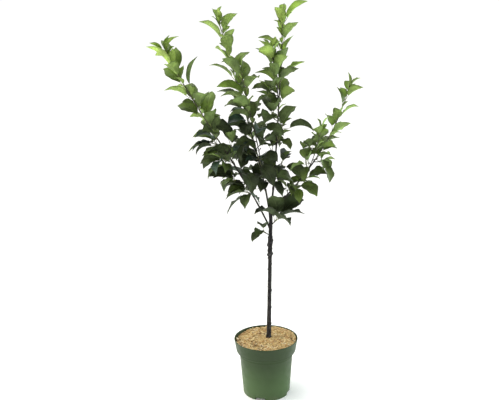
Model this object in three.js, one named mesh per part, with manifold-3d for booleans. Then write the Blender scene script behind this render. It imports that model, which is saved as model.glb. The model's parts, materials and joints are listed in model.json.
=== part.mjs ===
// A dwarf apple tree standing in a nursery pot: pot, potting soil, bark mulch, a slender trunk,
// three boughs and six masses of foliage. Millimetres, +Z up, the origin at the middle of the
// pot's flat underside, -Y the side the tree is seen from.
import * as THREE from 'three';
import { mergeVertices } from 'three/addons/utils/BufferGeometryUtils.js';
import Module from 'manifold-3d';

const wasm = await Module();
wasm.setup();

const RAD = Math.PI / 180;
const GAP = 0.3;                 // clearance between neighbouring pieces
const FLAT = 0.15;               // how far the flats of a limb lie within its round
const GOLDEN_ANGLE = 137.5 * RAD;

// Nursery container: a tapering body under a deep rim band, drainage notches round its foot.
const POT = {
  rimRadius: 130, height: 235, bandFoot: 183, bandFootRadius: 121.5,
  bodyTop: 170, bodyTopRadius: 109, footRadius: 95.5, footChamfer: 3,
  wall: 2.4, floor: 3, lip: 2.6, sides: 40,
};
const NOTCH = { count: 4, first: -108, width: 42, height: 12, inner: 77, wall: 2.5 };
const SOIL_TOP = 211;
const MULCH = { top: 226, bump: 3.4, edgeDrop: 3, rings: 6, sides: 32, patch: 17, seed: 11 };

// Trunk: a cubic curve from the mulch to the fork, its radii along the height.
const FORK = 758;
const TRUNK_CURVE = [[12, 20, 226.3], [18, 20, 413], [21, 20, 613], [27, 20, FORK]];
const TRUNK_RADII = [
  [226.3, 11], [232, 9.4], [253, 8.4], [389, 7.4], [517, 7], [579, 7], [590, 8.2], [601, 7],
  [713, 6.6], [FORK, 5.9], [788, 4.9], [853, 4.4],
];
const TRUNK_SIDES = 10;
// Old leaf scars and stubs: height, bearing round the trunk in degrees, and how far they stand out.
const KNOTS = [[287, 5, 2.6], [358, -20, 2.4], [431, 10, 3], [520, 200, 2.8], [543, -35, 3],
  [566, 150, 3.2], [580, 195, 6]];
const KNOT = { sink: 0.4, rise: 0.35, foot: 3.4, tip: 1.8, sides: 5 };

// Shoots: a cubic curve each (foot, two handles, tip). The share up to `bare` is a bough, the rest
// the stem of a mass. Short spurs with rosettes grow from `first` to `split`, single leaves above.
const SHOOTS = {
  leader: {
    curve: [[27, 20, FORK], [50, 20, 963], [63, 20, 1213], [84, 18, 1556]],
    bare: 0.1, first: 0.13, split: 0.55, spurs: 7, singles: 16, leaf: 93, foot: 4.7, tip: 1.3,
    seed: 1018,
  },
  twin: {
    parent: 'leader', at: 0.55, curve: [null, [59, -15, 1233], [49, -40, 1313], [34, -60, 1386]],
    bare: 0, first: 0.25, split: 0.3, spurs: 1, singles: 9, leaf: 83, foot: 2, tip: 1.1,
    seed: 3758,
  },
  mid: {
    curve: [[24, 20, 733], [0, 45, 943], [-75, 80, 1163], [-165, 95, 1503]],
    bare: 0.11, first: 0.14, split: 0.55, spurs: 7, singles: 14, leaf: 106, foot: 4.1, tip: 1.3,
    seed: 6739,
  },
  side: {
    parent: 'mid', at: 0.26, curve: [null, [-13, 0, 1023], [-55, -60, 1163], [-82, -80, 1324]],
    bare: 0, first: 0.15, split: 0.5, spurs: 4, singles: 10, leaf: 101, foot: 2.4, tip: 1.1,
    seed: 4560,
  },
  left: {
    curve: [[23, 20, 689], [-55, 0, 883], [-210, -45, 1098], [-356, -65, 1386]],
    bare: 0.19, first: 0.22, split: 0.56, spurs: 8, singles: 16, leaf: 98, foot: 4, tip: 1.3,
    seed: 1211,
  },
  right: {
    curve: [[27, 20, 755], [135, 15, 873], [275, 45, 1013], [341, 70, 1252]],
    bare: 0.13, first: 0.16, split: 0.6, spurs: 6, singles: 9, leaf: 76, foot: 3.9, tip: 1.2,
    seed: 1126,
  },
  fork: {
    parent: 'right', at: 0.4, curve: [null, [183, 5, 943], [210, -35, 1023], [215, -60, 1105]],
    bare: 0, first: 0.25, split: 0.55, spurs: 3, singles: 4, leaf: 72, foot: 2, tip: 1,
    seed: 3625,
  },
  lowLeft: {
    curve: [[22, 20, 663], [11, 16, 670], [3, 12, 676], [-3, 9, 681]],
    bare: 0, first: 0.6, split: 0.6, spurs: 0, singles: 3, leaf: 70, foot: 2.2, tip: 1.7,
    old: 0.5, seed: 1208,
  },
  lowRight: {
    curve: [[24, 20, 703], [35, 14, 713], [43, 10, 723], [48, 7, 731]],
    bare: 0, first: 0.6, split: 0.6, spurs: 0, singles: 6, leaf: 108, foot: 2.2, tip: 1.7,
    old: 0.5, seed: 3220,
  },
};
const MASSES = {
  foliage_leader: ['leader', 'twin'], foliage_mid: ['mid', 'side'], foliage_left: ['left'],
  foliage_right: ['right', 'fork'], foliage_low_left: ['lowLeft'], foliage_low_right: ['lowRight'],
};
const BOUGHS = { bough_left: 'left', bough_mid: 'mid', bough_right: 'right' };
const TRIES = 6;                 // bearings a leaf tries before it is left off
const TRY_TURN = 61 * RAD;       // between one try and the next
const LIMB_CLEARANCE = 7;        // from a leaf's points to a limb's bark
const LEAF_CLEARANCE = 15;       // between the points of leaves of two masses
const BLADE_CLEARANCE = 10;      // between the points of two blades of one mass
const REACH = new THREE.Box3(new THREE.Vector3(-470, -260, 573), new THREE.Vector3(405, 260, 1573));

// How a leaf flies: angles in degrees, shares of its length; `spread` sizes are half ranges.
const LEAF = {
  stalk: 0.24, stalkSpread: 0.1, lift: 0.12, outward: 0.4,
  riseShare: 0.8, rise: 14, riseSpread: 18, droop: 42, droopAge: 38, droopSpread: 18,
  swingSpread: 24, rollSpread: 55, fold: 12, foldSpread: 22, breadth: 0.64, breadthSpread: 0.12,
  spurAngle: 52, singleAngle: 42, youngAngle: 18,
};
const LEAF_STATIONS = [0, 0.28, 0.64, 1];
const LEAF_THICKNESS = 0.02;     // of its length, at the midrib
const PETIOLE = { radius: 1.1, keel: 1.76, sink: 1.5 };

// A spur: how it leans along and out from its stem, its length and the radii of its ends.
const SPUR = { along: 0.55, out: 0.85, length: 14, lengthSpread: 22, foot: 1.7, tip: 2.2 };
const BOUGH = { sides: 8, step: 30 };
const STEM = { sides: 5, step: 90 };
const TWIG_SIDES = 4;
const SIMPLIFY = 0.25;           // largest shift when a mass's slivers are merged away

// The points that stand for a leaf when leaves are kept apart: its stalk's first.
const STALK_SHARES = [0.4, 0.8];
const BLADE_SHARES = [0, 0.2, 0.4, 0.6, 0.8, 1];
const STALK_POINTS = 3;

const vec = (x, y, z) => new THREE.Vector3(x, y, z);
const clamp = (x, low, high) => Math.min(high, Math.max(low, x));
const turn = (u, v, angle) => u.clone().multiplyScalar(Math.cos(angle))
  .addScaledVector(v, Math.sin(angle));

/** A repeatable draw in 0..1 for one item of one shoot. */
function draw(seed, item, channel) {
  let h = (Math.imul(seed, 374761393) + Math.imul(item, 668265263)
    + Math.imul(channel, 2246822519)) >>> 0;
  h = Math.imul(h ^ (h >>> 13), 1274126177) >>> 0;
  h = (h ^ (h >>> 16)) >>> 0;
  h = Math.imul(h, 2654435761) >>> 0;
  return ((h ^ (h >>> 15)) >>> 0) / 4294967296;
}
const sway = (seed, item, channel) => 2 * draw(seed, item, channel) - 1;

/** Piecewise linear value from [at, value] pairs. */
function along(pairs, at) {
  const next = pairs.findIndex(([a]) => a >= at);
  if (next < 0) return pairs[pairs.length - 1][1];
  if (next === 0) return pairs[0][1];
  const [[a, p], [b, q]] = [pairs[next - 1], pairs[next]];
  return p + (q - p) * (at - a) / (b - a);
}

// ---- curves ---------------------------------------------------------------------------------

for (const shoot of Object.values(SHOOTS)) {
  const foot = shoot.parent ? SHOOTS[shoot.parent].path.getPoint(shoot.at) : null;
  shoot.path = new THREE.CubicBezierCurve3(
    ...shoot.curve.map((p) => (p ? vec(...p) : foot)));
}
const trunkPath = new THREE.CubicBezierCurve3(...TRUNK_CURVE.map((p) => vec(...p)));

const shootRadius = (shoot, t) => shoot.foot + (shoot.tip - shoot.foot) * t ** 0.8;

/** The unit vectors to the right of and behind a stem that runs along `axis`. */
function stemFrame(axis) {
  const lead = Math.abs(axis.y) < 0.95 ? vec(0, 1, 0) : vec(0, 0, 1);
  const right = lead.cross(axis).normalize();
  return [right, axis.clone().cross(right)];
}

/** Centre points and radii of the trunk, from its foot to where the leader's leaves begin. */
function trunkStations(extra = 0) {
  const stations = [];
  for (const [height] of TRUNK_RADII.filter(([h]) => h < FORK)) {
    let [low, high] = [0, 1];
    for (let i = 0; i < 30; i += 1) {
      const middle = (low + high) / 2;
      if (trunkPath.getPoint(middle).z < height) low = middle; else high = middle;
    }
    stations.push({ point: trunkPath.getPoint(low), radius: along(TRUNK_RADII, height) + extra });
  }
  const { path, bare } = SHOOTS.leader;
  for (let i = 0; i <= 3; i += 1) {
    const point = path.getPoint(bare * i / 3);
    stations.push({ point, radius: along(TRUNK_RADII, point.z) + extra });
  }
  return stations;
}

/** Centre points and radii of a shoot between two shares of its length. */
function shootStations(shoot, from, to, steps) {
  return Array.from({ length: steps + 1 }, (_, i) => {
    const t = from + (to - from) * i / steps;
    return { point: shoot.path.getPoint(t), radius: shootRadius(shoot, t) };
  });
}

// ---- solids ---------------------------------------------------------------------------------

/** A manifold solid from a closed geometry. */
function solid(geometry) {
  geometry.deleteAttribute('normal');
  geometry.deleteAttribute('uv');
  const merged = mergeVertices(geometry, 1e-4);
  return new wasm.Manifold(new wasm.Mesh({
    numProp: 3,
    vertProperties: new Float32Array(merged.attributes.position.array),
    triVerts: new Uint32Array(merged.index.array),
  }));
}

/** The geometry of a manifold solid. */
function geometryOf(manifold) {
  const mesh = manifold.getMesh();
  const geometry = new THREE.BufferGeometry();
  geometry.setAttribute('position', new THREE.BufferAttribute(mesh.vertProperties, 3));
  geometry.setIndex(new THREE.BufferAttribute(mesh.triVerts, 1));
  geometry.computeVertexNormals();
  return geometry;
}

/** A closed skin over rings of points that run anticlockwise seen from ahead, with flat ends. */
function skin(rings) {
  const count = Math.max(...rings.map((ring) => ring.length));
  const points = rings.flat();
  const starts = rings.map((_, i) => rings.slice(0, i).reduce((sum, r) => sum + r.length, 0));
  const faces = [];
  const cap = (start, length, flip) => {
    for (let i = 1; i + 1 < length; i += 1) {
      faces.push(...(flip ? [start, start + i + 1, start + i] : [start, start + i, start + i + 1]));
    }
  };
  cap(starts[0], rings[0].length, true);
  for (let r = 0; r + 1 < rings.length; r += 1) {
    for (let i = 0; i < count; i += 1) {
      const [a, b] = [starts[r] + i, starts[r] + (i + 1) % count];
      if (rings[r + 1].length === 1) {
        faces.push(a, b, starts[r + 1]);
      } else {
        const [c, d] = [starts[r + 1] + i, starts[r + 1] + (i + 1) % count];
        faces.push(a, b, d, a, d, c);
      }
    }
  }
  const last = rings.length - 1;
  cap(starts[last], rings[last].length, false);
  const geometry = new THREE.BufferGeometry();
  geometry.setAttribute('position', new THREE.Float32BufferAttribute(
    points.flatMap((p) => [p.x, p.y, p.z]), 3));
  geometry.setIndex(faces);
  return solid(geometry);
}

/** A tapering limb through its stations, `sides` flats round. */
function limb(stations, sides, level = false) {
  const rings = stations.map(({ point, radius }, i) => {
    const before = stations[Math.max(0, i - 1)];
    const after = stations[Math.min(stations.length - 1, i + 1)];
    const axis = level && i === 0 ? vec(0, 0, 1) : after.point.clone().sub(before.point).normalize();
    const [right, back] = stemFrame(axis);
    return Array.from({ length: sides }, (_, s) => point.clone()
      .addScaledVector(turn(right, back, 2 * Math.PI * s / sides), radius));
  });
  return skin(rings);
}

/** The biggest of a solid's separate bodies. */
const largest = (manifold) => manifold.decompose().sort((a, b) => b.volume() - a.volume())[0];

const union = (solids) => solids.reduce((sum, next) => sum.add(next));

// ---- growth ---------------------------------------------------------------------------------

/** One leaf on a twig: its stalk from `root` to `end`, and how its blade flies, droops and folds. */
function growLeaf(root, axis, outward, angle, length, age, seed, item) {
  const start = turn(axis, outward, angle);
  const stalk = length * (LEAF.stalk + LEAF.stalkSpread * draw(seed, item, 4));
  const way = start.clone().add(vec(0, 0, LEAF.lift)).normalize();
  return {
    root, end: root.clone().addScaledVector(way, stalk), length, age,
    heading: vec(start.x + LEAF.outward * outward.x, start.y + LEAF.outward * outward.y, 0).normalize(),
    rise: LEAF.riseShare * Math.asin(clamp(start.z, -1, 1))
      + (LEAF.rise + LEAF.riseSpread * sway(seed, item, 5)) * RAD,
    droop: (LEAF.droop + LEAF.droopAge * age + LEAF.droopSpread * sway(seed, item, 6)) * RAD,
    swing: LEAF.swingSpread * sway(seed, item, 7) * RAD,
    roll: LEAF.rollSpread * sway(seed, item, 8) * RAD,
    fold: (LEAF.fold + LEAF.foldSpread * draw(seed, item, 9)) * RAD,
    breadth: LEAF.breadth * (1 + LEAF.breadthSpread * sway(seed, item, 10)),
  };
}

/** The spurs of a shoot: short twigs in golden-angle order up its older wood. */
function growSpurs(shoot) {
  const { seed, first, split, spurs, path } = shoot;
  return Array.from({ length: spurs }, (_, j) => {
    const item = 500 + j;
    const t = first + (split - first) * (j + 0.3 + 0.4 * draw(seed, item, 1)) / spurs;
    const bearing = draw(seed, 999, 0) * 2 * Math.PI + j * GOLDEN_ANGLE;
    const [foot, stem] = [path.getPoint(t), path.getTangent(t)];
    const axis = stem.clone().multiplyScalar(SPUR.along)
      .addScaledVector(turn(...stemFrame(stem), bearing), SPUR.out).normalize();
    const length = SPUR.length + SPUR.lengthSpread * draw(seed, item, 2);
    const tip = foot.clone().addScaledVector(axis, length);
    return { t, foot, tip, axis, bearing, leaves: draw(seed, item, 3) > 0.55 ? 4 : 3 };
  });
}

/** The places for leaves on a shoot: each gives the leaf for a chosen turn of its bearing. */
function leafPlaces(shoot) {
  const { seed, split, singles, path, leaf: size, old = 0 } = shoot;
  const places = [];
  shoot.twigs.forEach((spur, j) => {
    for (let i = 0; i < spur.leaves; i += 1) {
      const item = 100 + 20 * j + i;
      const bearing = 3 * spur.bearing + 2 * Math.PI * i / spur.leaves + 0.4 * sway(seed, item, 1);
      const length = size * (0.95 + 0.2 * sway(seed, item, 3)) * (i === spur.leaves - 1 ? 0.8 : 1);
      const angle = (LEAF.spurAngle + 14 * sway(seed, item, 2)) * RAD;
      const root = spur.tip.clone().addScaledVector(spur.axis, -PETIOLE.sink);
      places.push((offset) => {
        const outward = turn(...stemFrame(spur.axis), bearing + offset);
        return growLeaf(root, spur.axis, outward, angle, length, 1 - 0.5 * spur.t, seed, item);
      });
    }
  });
  for (let k = 0; k < singles; k += 1) {
    const t = split + (1 - split) * Math.min(0.99, 1 - ((singles - 0.3 - k) / singles) ** 1.2);
    const young = (k + 0.5) / singles;
    const age = Math.min(1, 0.55 * (1 - young) + old);
    const bearing = draw(seed, 999, 0) * 2 * Math.PI + 1.3 + k * GOLDEN_ANGLE
      + 22 * RAD * sway(seed, k, 1);
    const length = size * Math.min(1, 0.42 + 0.19 * (singles - k) + old)
      * (1 + 0.14 * sway(seed, k, 3));
    const angle = (LEAF.singleAngle - LEAF.youngAngle * young + 10 * sway(seed, k, 2)) * RAD;
    const [root, stem] = [path.getPoint(t), path.getTangent(t)];
    places.push((offset) => {
      const outward = turn(...stemFrame(stem), bearing + offset);
      return growLeaf(root, stem, outward, angle, length, age, seed, k);
    });
  }
  return places;
}

/** Half the blade's width at a share of its length, as a share of the full half width. */
const bladeWidth = (t) => (t > 0 && t < 1 ? Math.sin(Math.PI * t ** 0.85) ** 0.75 : 0);

/** The blade's midrib points with the directions to its two halves, at the given stations. */
function bladeSections(leaf, stations) {
  const fine = 24;
  const point = leaf.end.clone();
  const sections = [];
  const state = (t) => {
    const [swing, rise] = [leaf.swing * t, leaf.rise - leaf.droop * t ** 1.3];
    const level = vec(leaf.heading.x * Math.cos(swing) - leaf.heading.y * Math.sin(swing),
      leaf.heading.x * Math.sin(swing) + leaf.heading.y * Math.cos(swing), 0);
    return { level, forward: turn(level, vec(0, 0, 1), rise) };
  };
  let next = 0;
  for (let i = 0; i <= fine; i += 1) {
    const t = i / fine;
    while (next < stations.length && stations[next] <= t + 1e-9) {
      const at = stations[next];
      const { level, forward } = state(at);
      const side = vec(-level.y, level.x, 0);
      const normal = forward.clone().cross(side);
      const roll = leaf.roll * (0.5 + 0.5 * at);
      const across = turn(side, normal, roll);
      const upward = forward.clone().cross(across);
      const fold = leaf.fold * (1 - 0.4 * at);
      const middle = point.clone().addScaledVector(forward, (at - t) * leaf.length);
      sections.push({ middle, upward, half: 0.5 * leaf.length * leaf.breadth * bladeWidth(at),
        left: turn(across, upward, fold), right: turn(across.clone().negate(), upward, fold) });
      next += 1;
    }
    point.addScaledVector(state((i + 0.5) / fine).forward, leaf.length / fine);
  }
  return sections;
}

/** Points spread over a leaf's stalk and blade. */
function leafPoints(leaf) {
  const points = STALK_SHARES.map((s) => leaf.root.clone().lerp(leaf.end, s));
  for (const { middle, half, left, right } of bladeSections(leaf, BLADE_SHARES)) {
    points.push(middle);
    for (const side of half > 0 ? [left, right] : []) {
      for (const reach of [half / 2, half]) points.push(middle.clone().addScaledVector(side, reach));
    }
  }
  return points;
}

/** The solid of one leaf: a stalk sunk in its twig, and a keeled blade thinning to its edges. */
function leafSolid(leaf) {
  const thick = LEAF_THICKNESS * leaf.length;
  const sections = bladeSections(leaf, LEAF_STATIONS);
  const ring = (middle, half, left, right, upward, keel) => [
    middle.clone().addScaledVector(left, half),
    middle.clone().addScaledVector(right, half),
    middle.clone().addScaledVector(upward, -keel),
  ];
  const stalk = leaf.end.clone().sub(leaf.root).normalize();
  const side = sections[0].left;
  const across = side.clone().addScaledVector(stalk, -side.dot(stalk)).normalize();
  const rings = [ring(leaf.root, PETIOLE.radius, across, across.clone().negate(),
    stalk.clone().cross(across), PETIOLE.keel)];
  sections.forEach(({ middle, half, left, right, upward }, i) => {
    const tip = i === sections.length - 1;
    rings.push(tip ? [middle] : ring(middle, Math.max(half, PETIOLE.radius), left, right, upward,
      i === 0 ? PETIOLE.keel : thick));
  });
  return skin(rings);
}

/** The distance from a point to the segment between two others. */
function toSegment(point, a, b) {
  const run = b.clone().sub(a);
  const share = clamp(point.clone().sub(a).dot(run) / run.lengthSq(), 0, 1);
  return point.distanceTo(a.clone().addScaledVector(run, share));
}

/** The wood that leaves keep clear of, as tapering rods, each with the mass it belongs to. */
function rods() {
  const found = [];
  const add = (stations, owner) => {
    for (let i = 0; i + 1 < stations.length; i += 1) {
      const { point, radius } = stations[i];
      found.push({ a: point, b: stations[i + 1].point, radius, owner });
    }
  };
  add(trunkStations(), null);
  for (const name of Object.values(BOUGHS)) {
    add(shootStations(SHOOTS[name], 0, SHOOTS[name].bare, 4), null);
  }
  for (const [mass, names] of Object.entries(MASSES)) {
    for (const name of names) {
      const shoot = SHOOTS[name];
      add(shootStations(shoot, shoot.bare, 1, 10), mass);
      for (const { foot, tip } of shoot.twigs) {
        add([{ point: foot, radius: SPUR.tip }, { point: tip, radius: SPUR.tip }], mass);
      }
    }
  }
  return found;
}

/** Grows every mass's leaves in turn: a leaf that meets a limb or another mass tries a new bearing. */
function growAll() {
  for (const shoot of Object.values(SHOOTS)) shoot.twigs = growSpurs(shoot);
  const wood = rods();
  const grown = [];
  const apart = (points, others, distance) => points.every((p) => (
    others.every((q) => p.distanceToSquared(q) > distance * distance)));
  const offWood = (p, mass) => wood.every(({ a, b, radius, owner }) => (
    owner === mass || toSegment(p, a, b) > radius + LIMB_CLEARANCE));
  const clear = (points, mass) => points.every((p) => REACH.containsPoint(p) && offWood(p, mass))
    && grown.every((other) => (other.mass === mass
      ? apart(points.slice(STALK_POINTS), other.points.slice(STALK_POINTS), BLADE_CLEARANCE)
      : apart(points, other.points, LEAF_CLEARANCE)));
  for (const [mass, names] of Object.entries(MASSES)) {
    for (const name of names) {
      for (const place of leafPlaces(SHOOTS[name])) {
        for (let attempt = 0; attempt < TRIES; attempt += 1) {
          const leaf = place(TRY_TURN * attempt);
          const points = leafPoints(leaf);
          if (clear(points, mass)) {
            grown.push({ mass, leaf, points });
            break;
          }
        }
      }
    }
  }
  return grown;
}

// ---- pieces ---------------------------------------------------------------------------------

const trunkWood = limb(trunkStations(), TRUNK_SIDES, true);
const trunkRoom = limb(trunkStations(GAP + FLAT), TRUNK_SIDES, true);

/** The trunk with its old leaf scars and stub. */
function makeTrunk() {
  const knots = KNOTS.map(([height, bearing, reach]) => {
    const near = trunkStations().reduce((a, b) => (
      Math.abs(a.point.z - height) < Math.abs(b.point.z - height) ? a : b));
    const radius = along(TRUNK_RADII, height);
    const centre = vec(near.point.x, near.point.y, height);
    const out = vec(Math.cos(bearing * RAD), Math.sin(bearing * RAD), KNOT.rise).normalize();
    return limb([
      { point: centre.clone().addScaledVector(out, radius * KNOT.sink), radius: KNOT.foot },
      { point: centre.clone().addScaledVector(out, radius + reach), radius: KNOT.tip },
    ], KNOT.sides);
  });
  return union([trunkWood, ...knots]);
}

/** The bare foot of a shoot, cut clear of the trunk. */
function makeBough(shoot) {
  const steps = Math.max(3, Math.round(shoot.bare * shoot.path.getLength() / BOUGH.step));
  const stations = shootStations(shoot, 0, shoot.bare, steps);
  return largest(limb(stations, BOUGH.sides).subtract(trunkRoom));
}

/** One mass: the stems, spurs and leaves of its shoots in one body, clear of the trunk. */
function makeMass(names, leaves) {
  const parts = [];
  for (const name of names) {
    const shoot = SHOOTS[name];
    const length = shoot.path.getLength();
    const from = shoot.bare > 0 ? shoot.bare + GAP / length : 0;
    const steps = Math.max(2, Math.round(length / STEM.step));
    parts.push(limb(shootStations(shoot, from, 1, steps), STEM.sides));
    for (const { foot, tip } of shoot.twigs) {
      const ends = [{ point: foot, radius: SPUR.foot }, { point: tip, radius: SPUR.tip }];
      parts.push(limb(ends, TWIG_SIDES));
    }
  }
  parts.push(...leaves.map(leafSolid));
  return largest(union(parts).subtract(trunkRoom)).simplify(SIMPLIFY);
}

/** A lathe of [radius, height] pairs whose ends lie on the axis. */
const lathe = (profile, sides) => solid(new THREE.LatheGeometry(
  profile.map(([r, z]) => new THREE.Vector2(r, z)), sides).rotateX(Math.PI / 2));

/** Inside radius of the pot at a height, `extra` clear of its wall. */
function potInside(height, extra = 0) {
  return along([
    [POT.floor, POT.footRadius - POT.wall], [POT.bodyTop, POT.bodyTopRadius - POT.wall],
    [POT.bandFoot, POT.bandFootRadius - POT.wall], [POT.height, POT.rimRadius - POT.lip],
  ], height) - extra;
}

/** The drainage pockets round the foot, grown by `extra` on every inner face. */
function pockets(extra) {
  const depth = POT.footRadius + 20 - NOTCH.inner + extra;
  return Array.from({ length: NOTCH.count }, (_, i) => {
    const block = new THREE.BoxGeometry(depth, NOTCH.width + 2 * extra, 2 * (NOTCH.height + extra));
    block.translate(NOTCH.inner - extra + depth / 2, 0, 0);
    return solid(block.rotateZ((NOTCH.first + 360 * i / NOTCH.count) * RAD));
  });
}

/** The pot: a turned shell with a rounded lip, and a closed pocket behind each drainage notch. */
function makePot() {
  const { rimRadius, height, bandFoot, bodyTop, footRadius, footChamfer } = POT;
  const outer = [[0, 0], [footRadius - footChamfer, 0], [footRadius, footChamfer],
    [POT.bodyTopRadius, bodyTop], [POT.bandFootRadius, bandFoot], [rimRadius - 0.8, height - 4],
    [rimRadius, height - 3], [rimRadius - 0.6, height - 0.5], [rimRadius - 1.3, height]];
  const inner = [[potInside(height), height - 0.6], [potInside(bandFoot), bandFoot],
    [potInside(bodyTop), bodyTop], [potInside(POT.floor), POT.floor], [0, POT.floor]];
  const body = lathe([...outer, ...inner], POT.sides);
  const within = lathe([[0, 0], [footRadius - footChamfer, 0], [footRadius, footChamfer],
    [potInside(30, -POT.wall / 2), 30], [0, 30]], POT.sides);
  const housings = union(pockets(NOTCH.wall)).intersect(within);
  return body.add(housings).subtract(union(pockets(0)));
}

/** The potting soil: it fills the pot clear of the wall, the floor and the pockets. */
function makeSoil() {
  const inside = [POT.floor + GAP, POT.bodyTop, POT.bandFoot, SOIL_TOP];
  const body = lathe([[0, POT.floor + GAP], ...inside.map((z) => [potInside(z, GAP + 0.1), z]),
    [0, SOIL_TOP]], POT.sides);
  return body.subtract(union(pockets(NOTCH.wall + GAP)));
}

/** The bark mulch: a bumpy bed that dips to the wall and lies flat under the trunk's foot. */
function makeMulch() {
  const { top, bump, edgeDrop, rings, sides, patch, seed } = MULCH;
  const [centreX, centreY] = TRUNK_CURVE[0];
  const bottom = SOIL_TOP + GAP;
  const edge = (z) => potInside(z, GAP + 0.6);
  const circle = (share, index) => Array.from({ length: sides }, (_, s) => {
    const bearing = 2 * Math.PI * s / sides;
    const rough = bump * sway(seed, index, s) * (share > 0.2 ? 1 : 0);
    const height = top - edgeDrop * share ** 4 + rough;
    const rim = vec(Math.cos(bearing), Math.sin(bearing), 0).multiplyScalar(edge(height - bump));
    const core = vec(centreX, centreY, 0).addScaledVector(rim.clone().normalize(), patch);
    return core.lerp(rim, share).setZ(share === 0 ? top : height);
  });
  const surface = Array.from({ length: rings + 1 }, (_, i) => circle(i / rings, i));
  const foot = Array.from({ length: sides }, (_, s) => {
    const bearing = 2 * Math.PI * s / sides;
    return vec(Math.cos(bearing), Math.sin(bearing), 0).multiplyScalar(edge(bottom)).setZ(bottom);
  });
  return skin([foot, ...surface.reverse()]);
}

// ---- scene ----------------------------------------------------------------------------------

const finish = (color, roughness) => (
  new THREE.MeshStandardMaterial({ color, roughness, metalness: 0 }));
const FINISHES = {
  pot: finish(0x4f7f56, 0.5), soil: finish(0x2c221b, 0.95), mulch: finish(0xc29a63, 0.9),
  bark: finish(0x4a443f, 0.8), foliage: finish(0x4d7a2c, 0.5),
};

const tree = new THREE.Group();
function place(name, manifold, slot) {
  const mesh = new THREE.Mesh(geometryOf(manifold), FINISHES[slot]);
  mesh.name = name;
  tree.add(mesh);
}

place('pot', makePot(), 'pot');
place('soil', makeSoil(), 'soil');
place('mulch', makeMulch(), 'mulch');
place('trunk', makeTrunk(), 'bark');
for (const [name, shoot] of Object.entries(BOUGHS)) place(name, makeBough(SHOOTS[shoot]), 'bark');

const grown = growAll();
for (const [name, shoots] of Object.entries(MASSES)) {
  const leaves = grown.filter(({ mass }) => mass === name).map(({ leaf }) => leaf);
  place(name, makeMass(shoots, leaves), 'foliage');
}

export default tree;
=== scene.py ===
"""A dwarf apple tree in a nursery pot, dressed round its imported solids.

Sizes are in millimetres, +Z up, the origin at the middle of the pot's flat underside and -Y the
side the tree is seen from. Points are turned into metres when a mesh is written. The leaves grow
by the rule of the part's source, and finer leaves, buds and bark follow on from it.
"""
import json
import logging
import math
from dataclasses import dataclass, field, replace
from enum import Enum

import bpy
import numpy as np
from mathutils import Matrix, Vector

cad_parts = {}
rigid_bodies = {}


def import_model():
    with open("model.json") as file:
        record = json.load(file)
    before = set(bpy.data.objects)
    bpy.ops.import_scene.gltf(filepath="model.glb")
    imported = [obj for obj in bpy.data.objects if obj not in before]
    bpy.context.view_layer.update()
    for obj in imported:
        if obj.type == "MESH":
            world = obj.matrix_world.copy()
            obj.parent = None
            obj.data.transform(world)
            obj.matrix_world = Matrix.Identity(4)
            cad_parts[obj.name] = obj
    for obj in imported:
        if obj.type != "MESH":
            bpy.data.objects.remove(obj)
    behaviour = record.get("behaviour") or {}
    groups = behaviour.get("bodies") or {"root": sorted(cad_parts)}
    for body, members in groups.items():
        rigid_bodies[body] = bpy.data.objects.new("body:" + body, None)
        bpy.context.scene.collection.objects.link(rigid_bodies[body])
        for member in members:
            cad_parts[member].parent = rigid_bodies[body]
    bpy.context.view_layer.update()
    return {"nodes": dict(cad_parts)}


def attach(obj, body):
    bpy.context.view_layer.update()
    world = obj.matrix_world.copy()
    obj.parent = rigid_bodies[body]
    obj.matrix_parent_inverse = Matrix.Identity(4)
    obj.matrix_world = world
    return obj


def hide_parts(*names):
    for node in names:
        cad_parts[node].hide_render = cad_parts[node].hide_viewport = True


LOG = logging.getLogger("apple_tree")
MM = 0.001
DEG = math.pi / 180
TURN = 2 * math.pi
GOLDEN_ANGLE = 137.5 * DEG
STEM_LIMIT = 0.95
TUBE_LIMIT = 0.8
Colour = tuple[int, int, int]
Pair = tuple[float, float]
Triple = tuple[float, float, float]
Array = np.ndarray
Socket = bpy.types.NodeSocket
Material = bpy.types.Material


# ---- draws and directions ----


def draw(seed: int, item: Array | int, channel: Array | int) -> Array:
    """Repeatable draws in 0..1 from a 32-bit hash of a seed, an item and a channel.

    Args:
        seed: The shoot's or surface's own number.
        item: Which leaf, spur or lattice point is asked about.
        channel: Which of its qualities.

    Returns:
        The draws, in the common shape of item and channel.
    """
    mask = np.uint64(0xFFFFFFFF)
    item = np.asarray(item).astype(np.uint64)
    channel = np.asarray(channel).astype(np.uint64)
    mixed = (
        np.uint64(seed * 374761393 & 0xFFFFFFFF)
        + item * np.uint64(668265263)
        + channel * np.uint64(2246822519)
    ) & mask
    mixed = (mixed ^ (mixed >> np.uint64(13))) * np.uint64(1274126177) & mask
    mixed = mixed ^ (mixed >> np.uint64(16))
    mixed = mixed * np.uint64(2654435761) & mask
    return (mixed ^ (mixed >> np.uint64(15))) / 4294967296.0


def sway(seed: int, item: Array | int, channel: Array | int) -> Array:
    """The same draws, spread over -1..1."""
    return 2 * draw(seed, item, channel) - 1


def unit(vectors: Array) -> Array:
    """Vectors of length one along the last axis."""
    return vectors / np.maximum(np.linalg.norm(vectors, axis=-1, keepdims=True), 1e-12)


def turned(first: Array, second: Array, angle: Array | float) -> Array:
    """The unit vector at an angle from the first of two unit vectors towards the second."""
    angle = np.asarray(angle)[..., None]
    return first * np.cos(angle) + second * np.sin(angle)


def stem_frame(axis: Array) -> tuple[Array, Array]:
    """The unit vectors to the right of and behind stems that run along the given axes.

    Args:
        axis: Unit vectors, one for each stem.

    Returns:
        The right and the back vectors, in the axes' shape.
    """
    level = np.abs(axis[..., 1:2]) < STEM_LIMIT
    lead = np.where(level, np.array([0.0, 1.0, 0.0]), np.array([0.0, 0.0, 1.0]))
    right = unit(np.cross(lead, axis))
    return right, np.cross(axis, right)


def bearings(count: int) -> Array:
    """Equal bearings round a full turn."""
    return TURN * np.arange(count) / count


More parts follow.
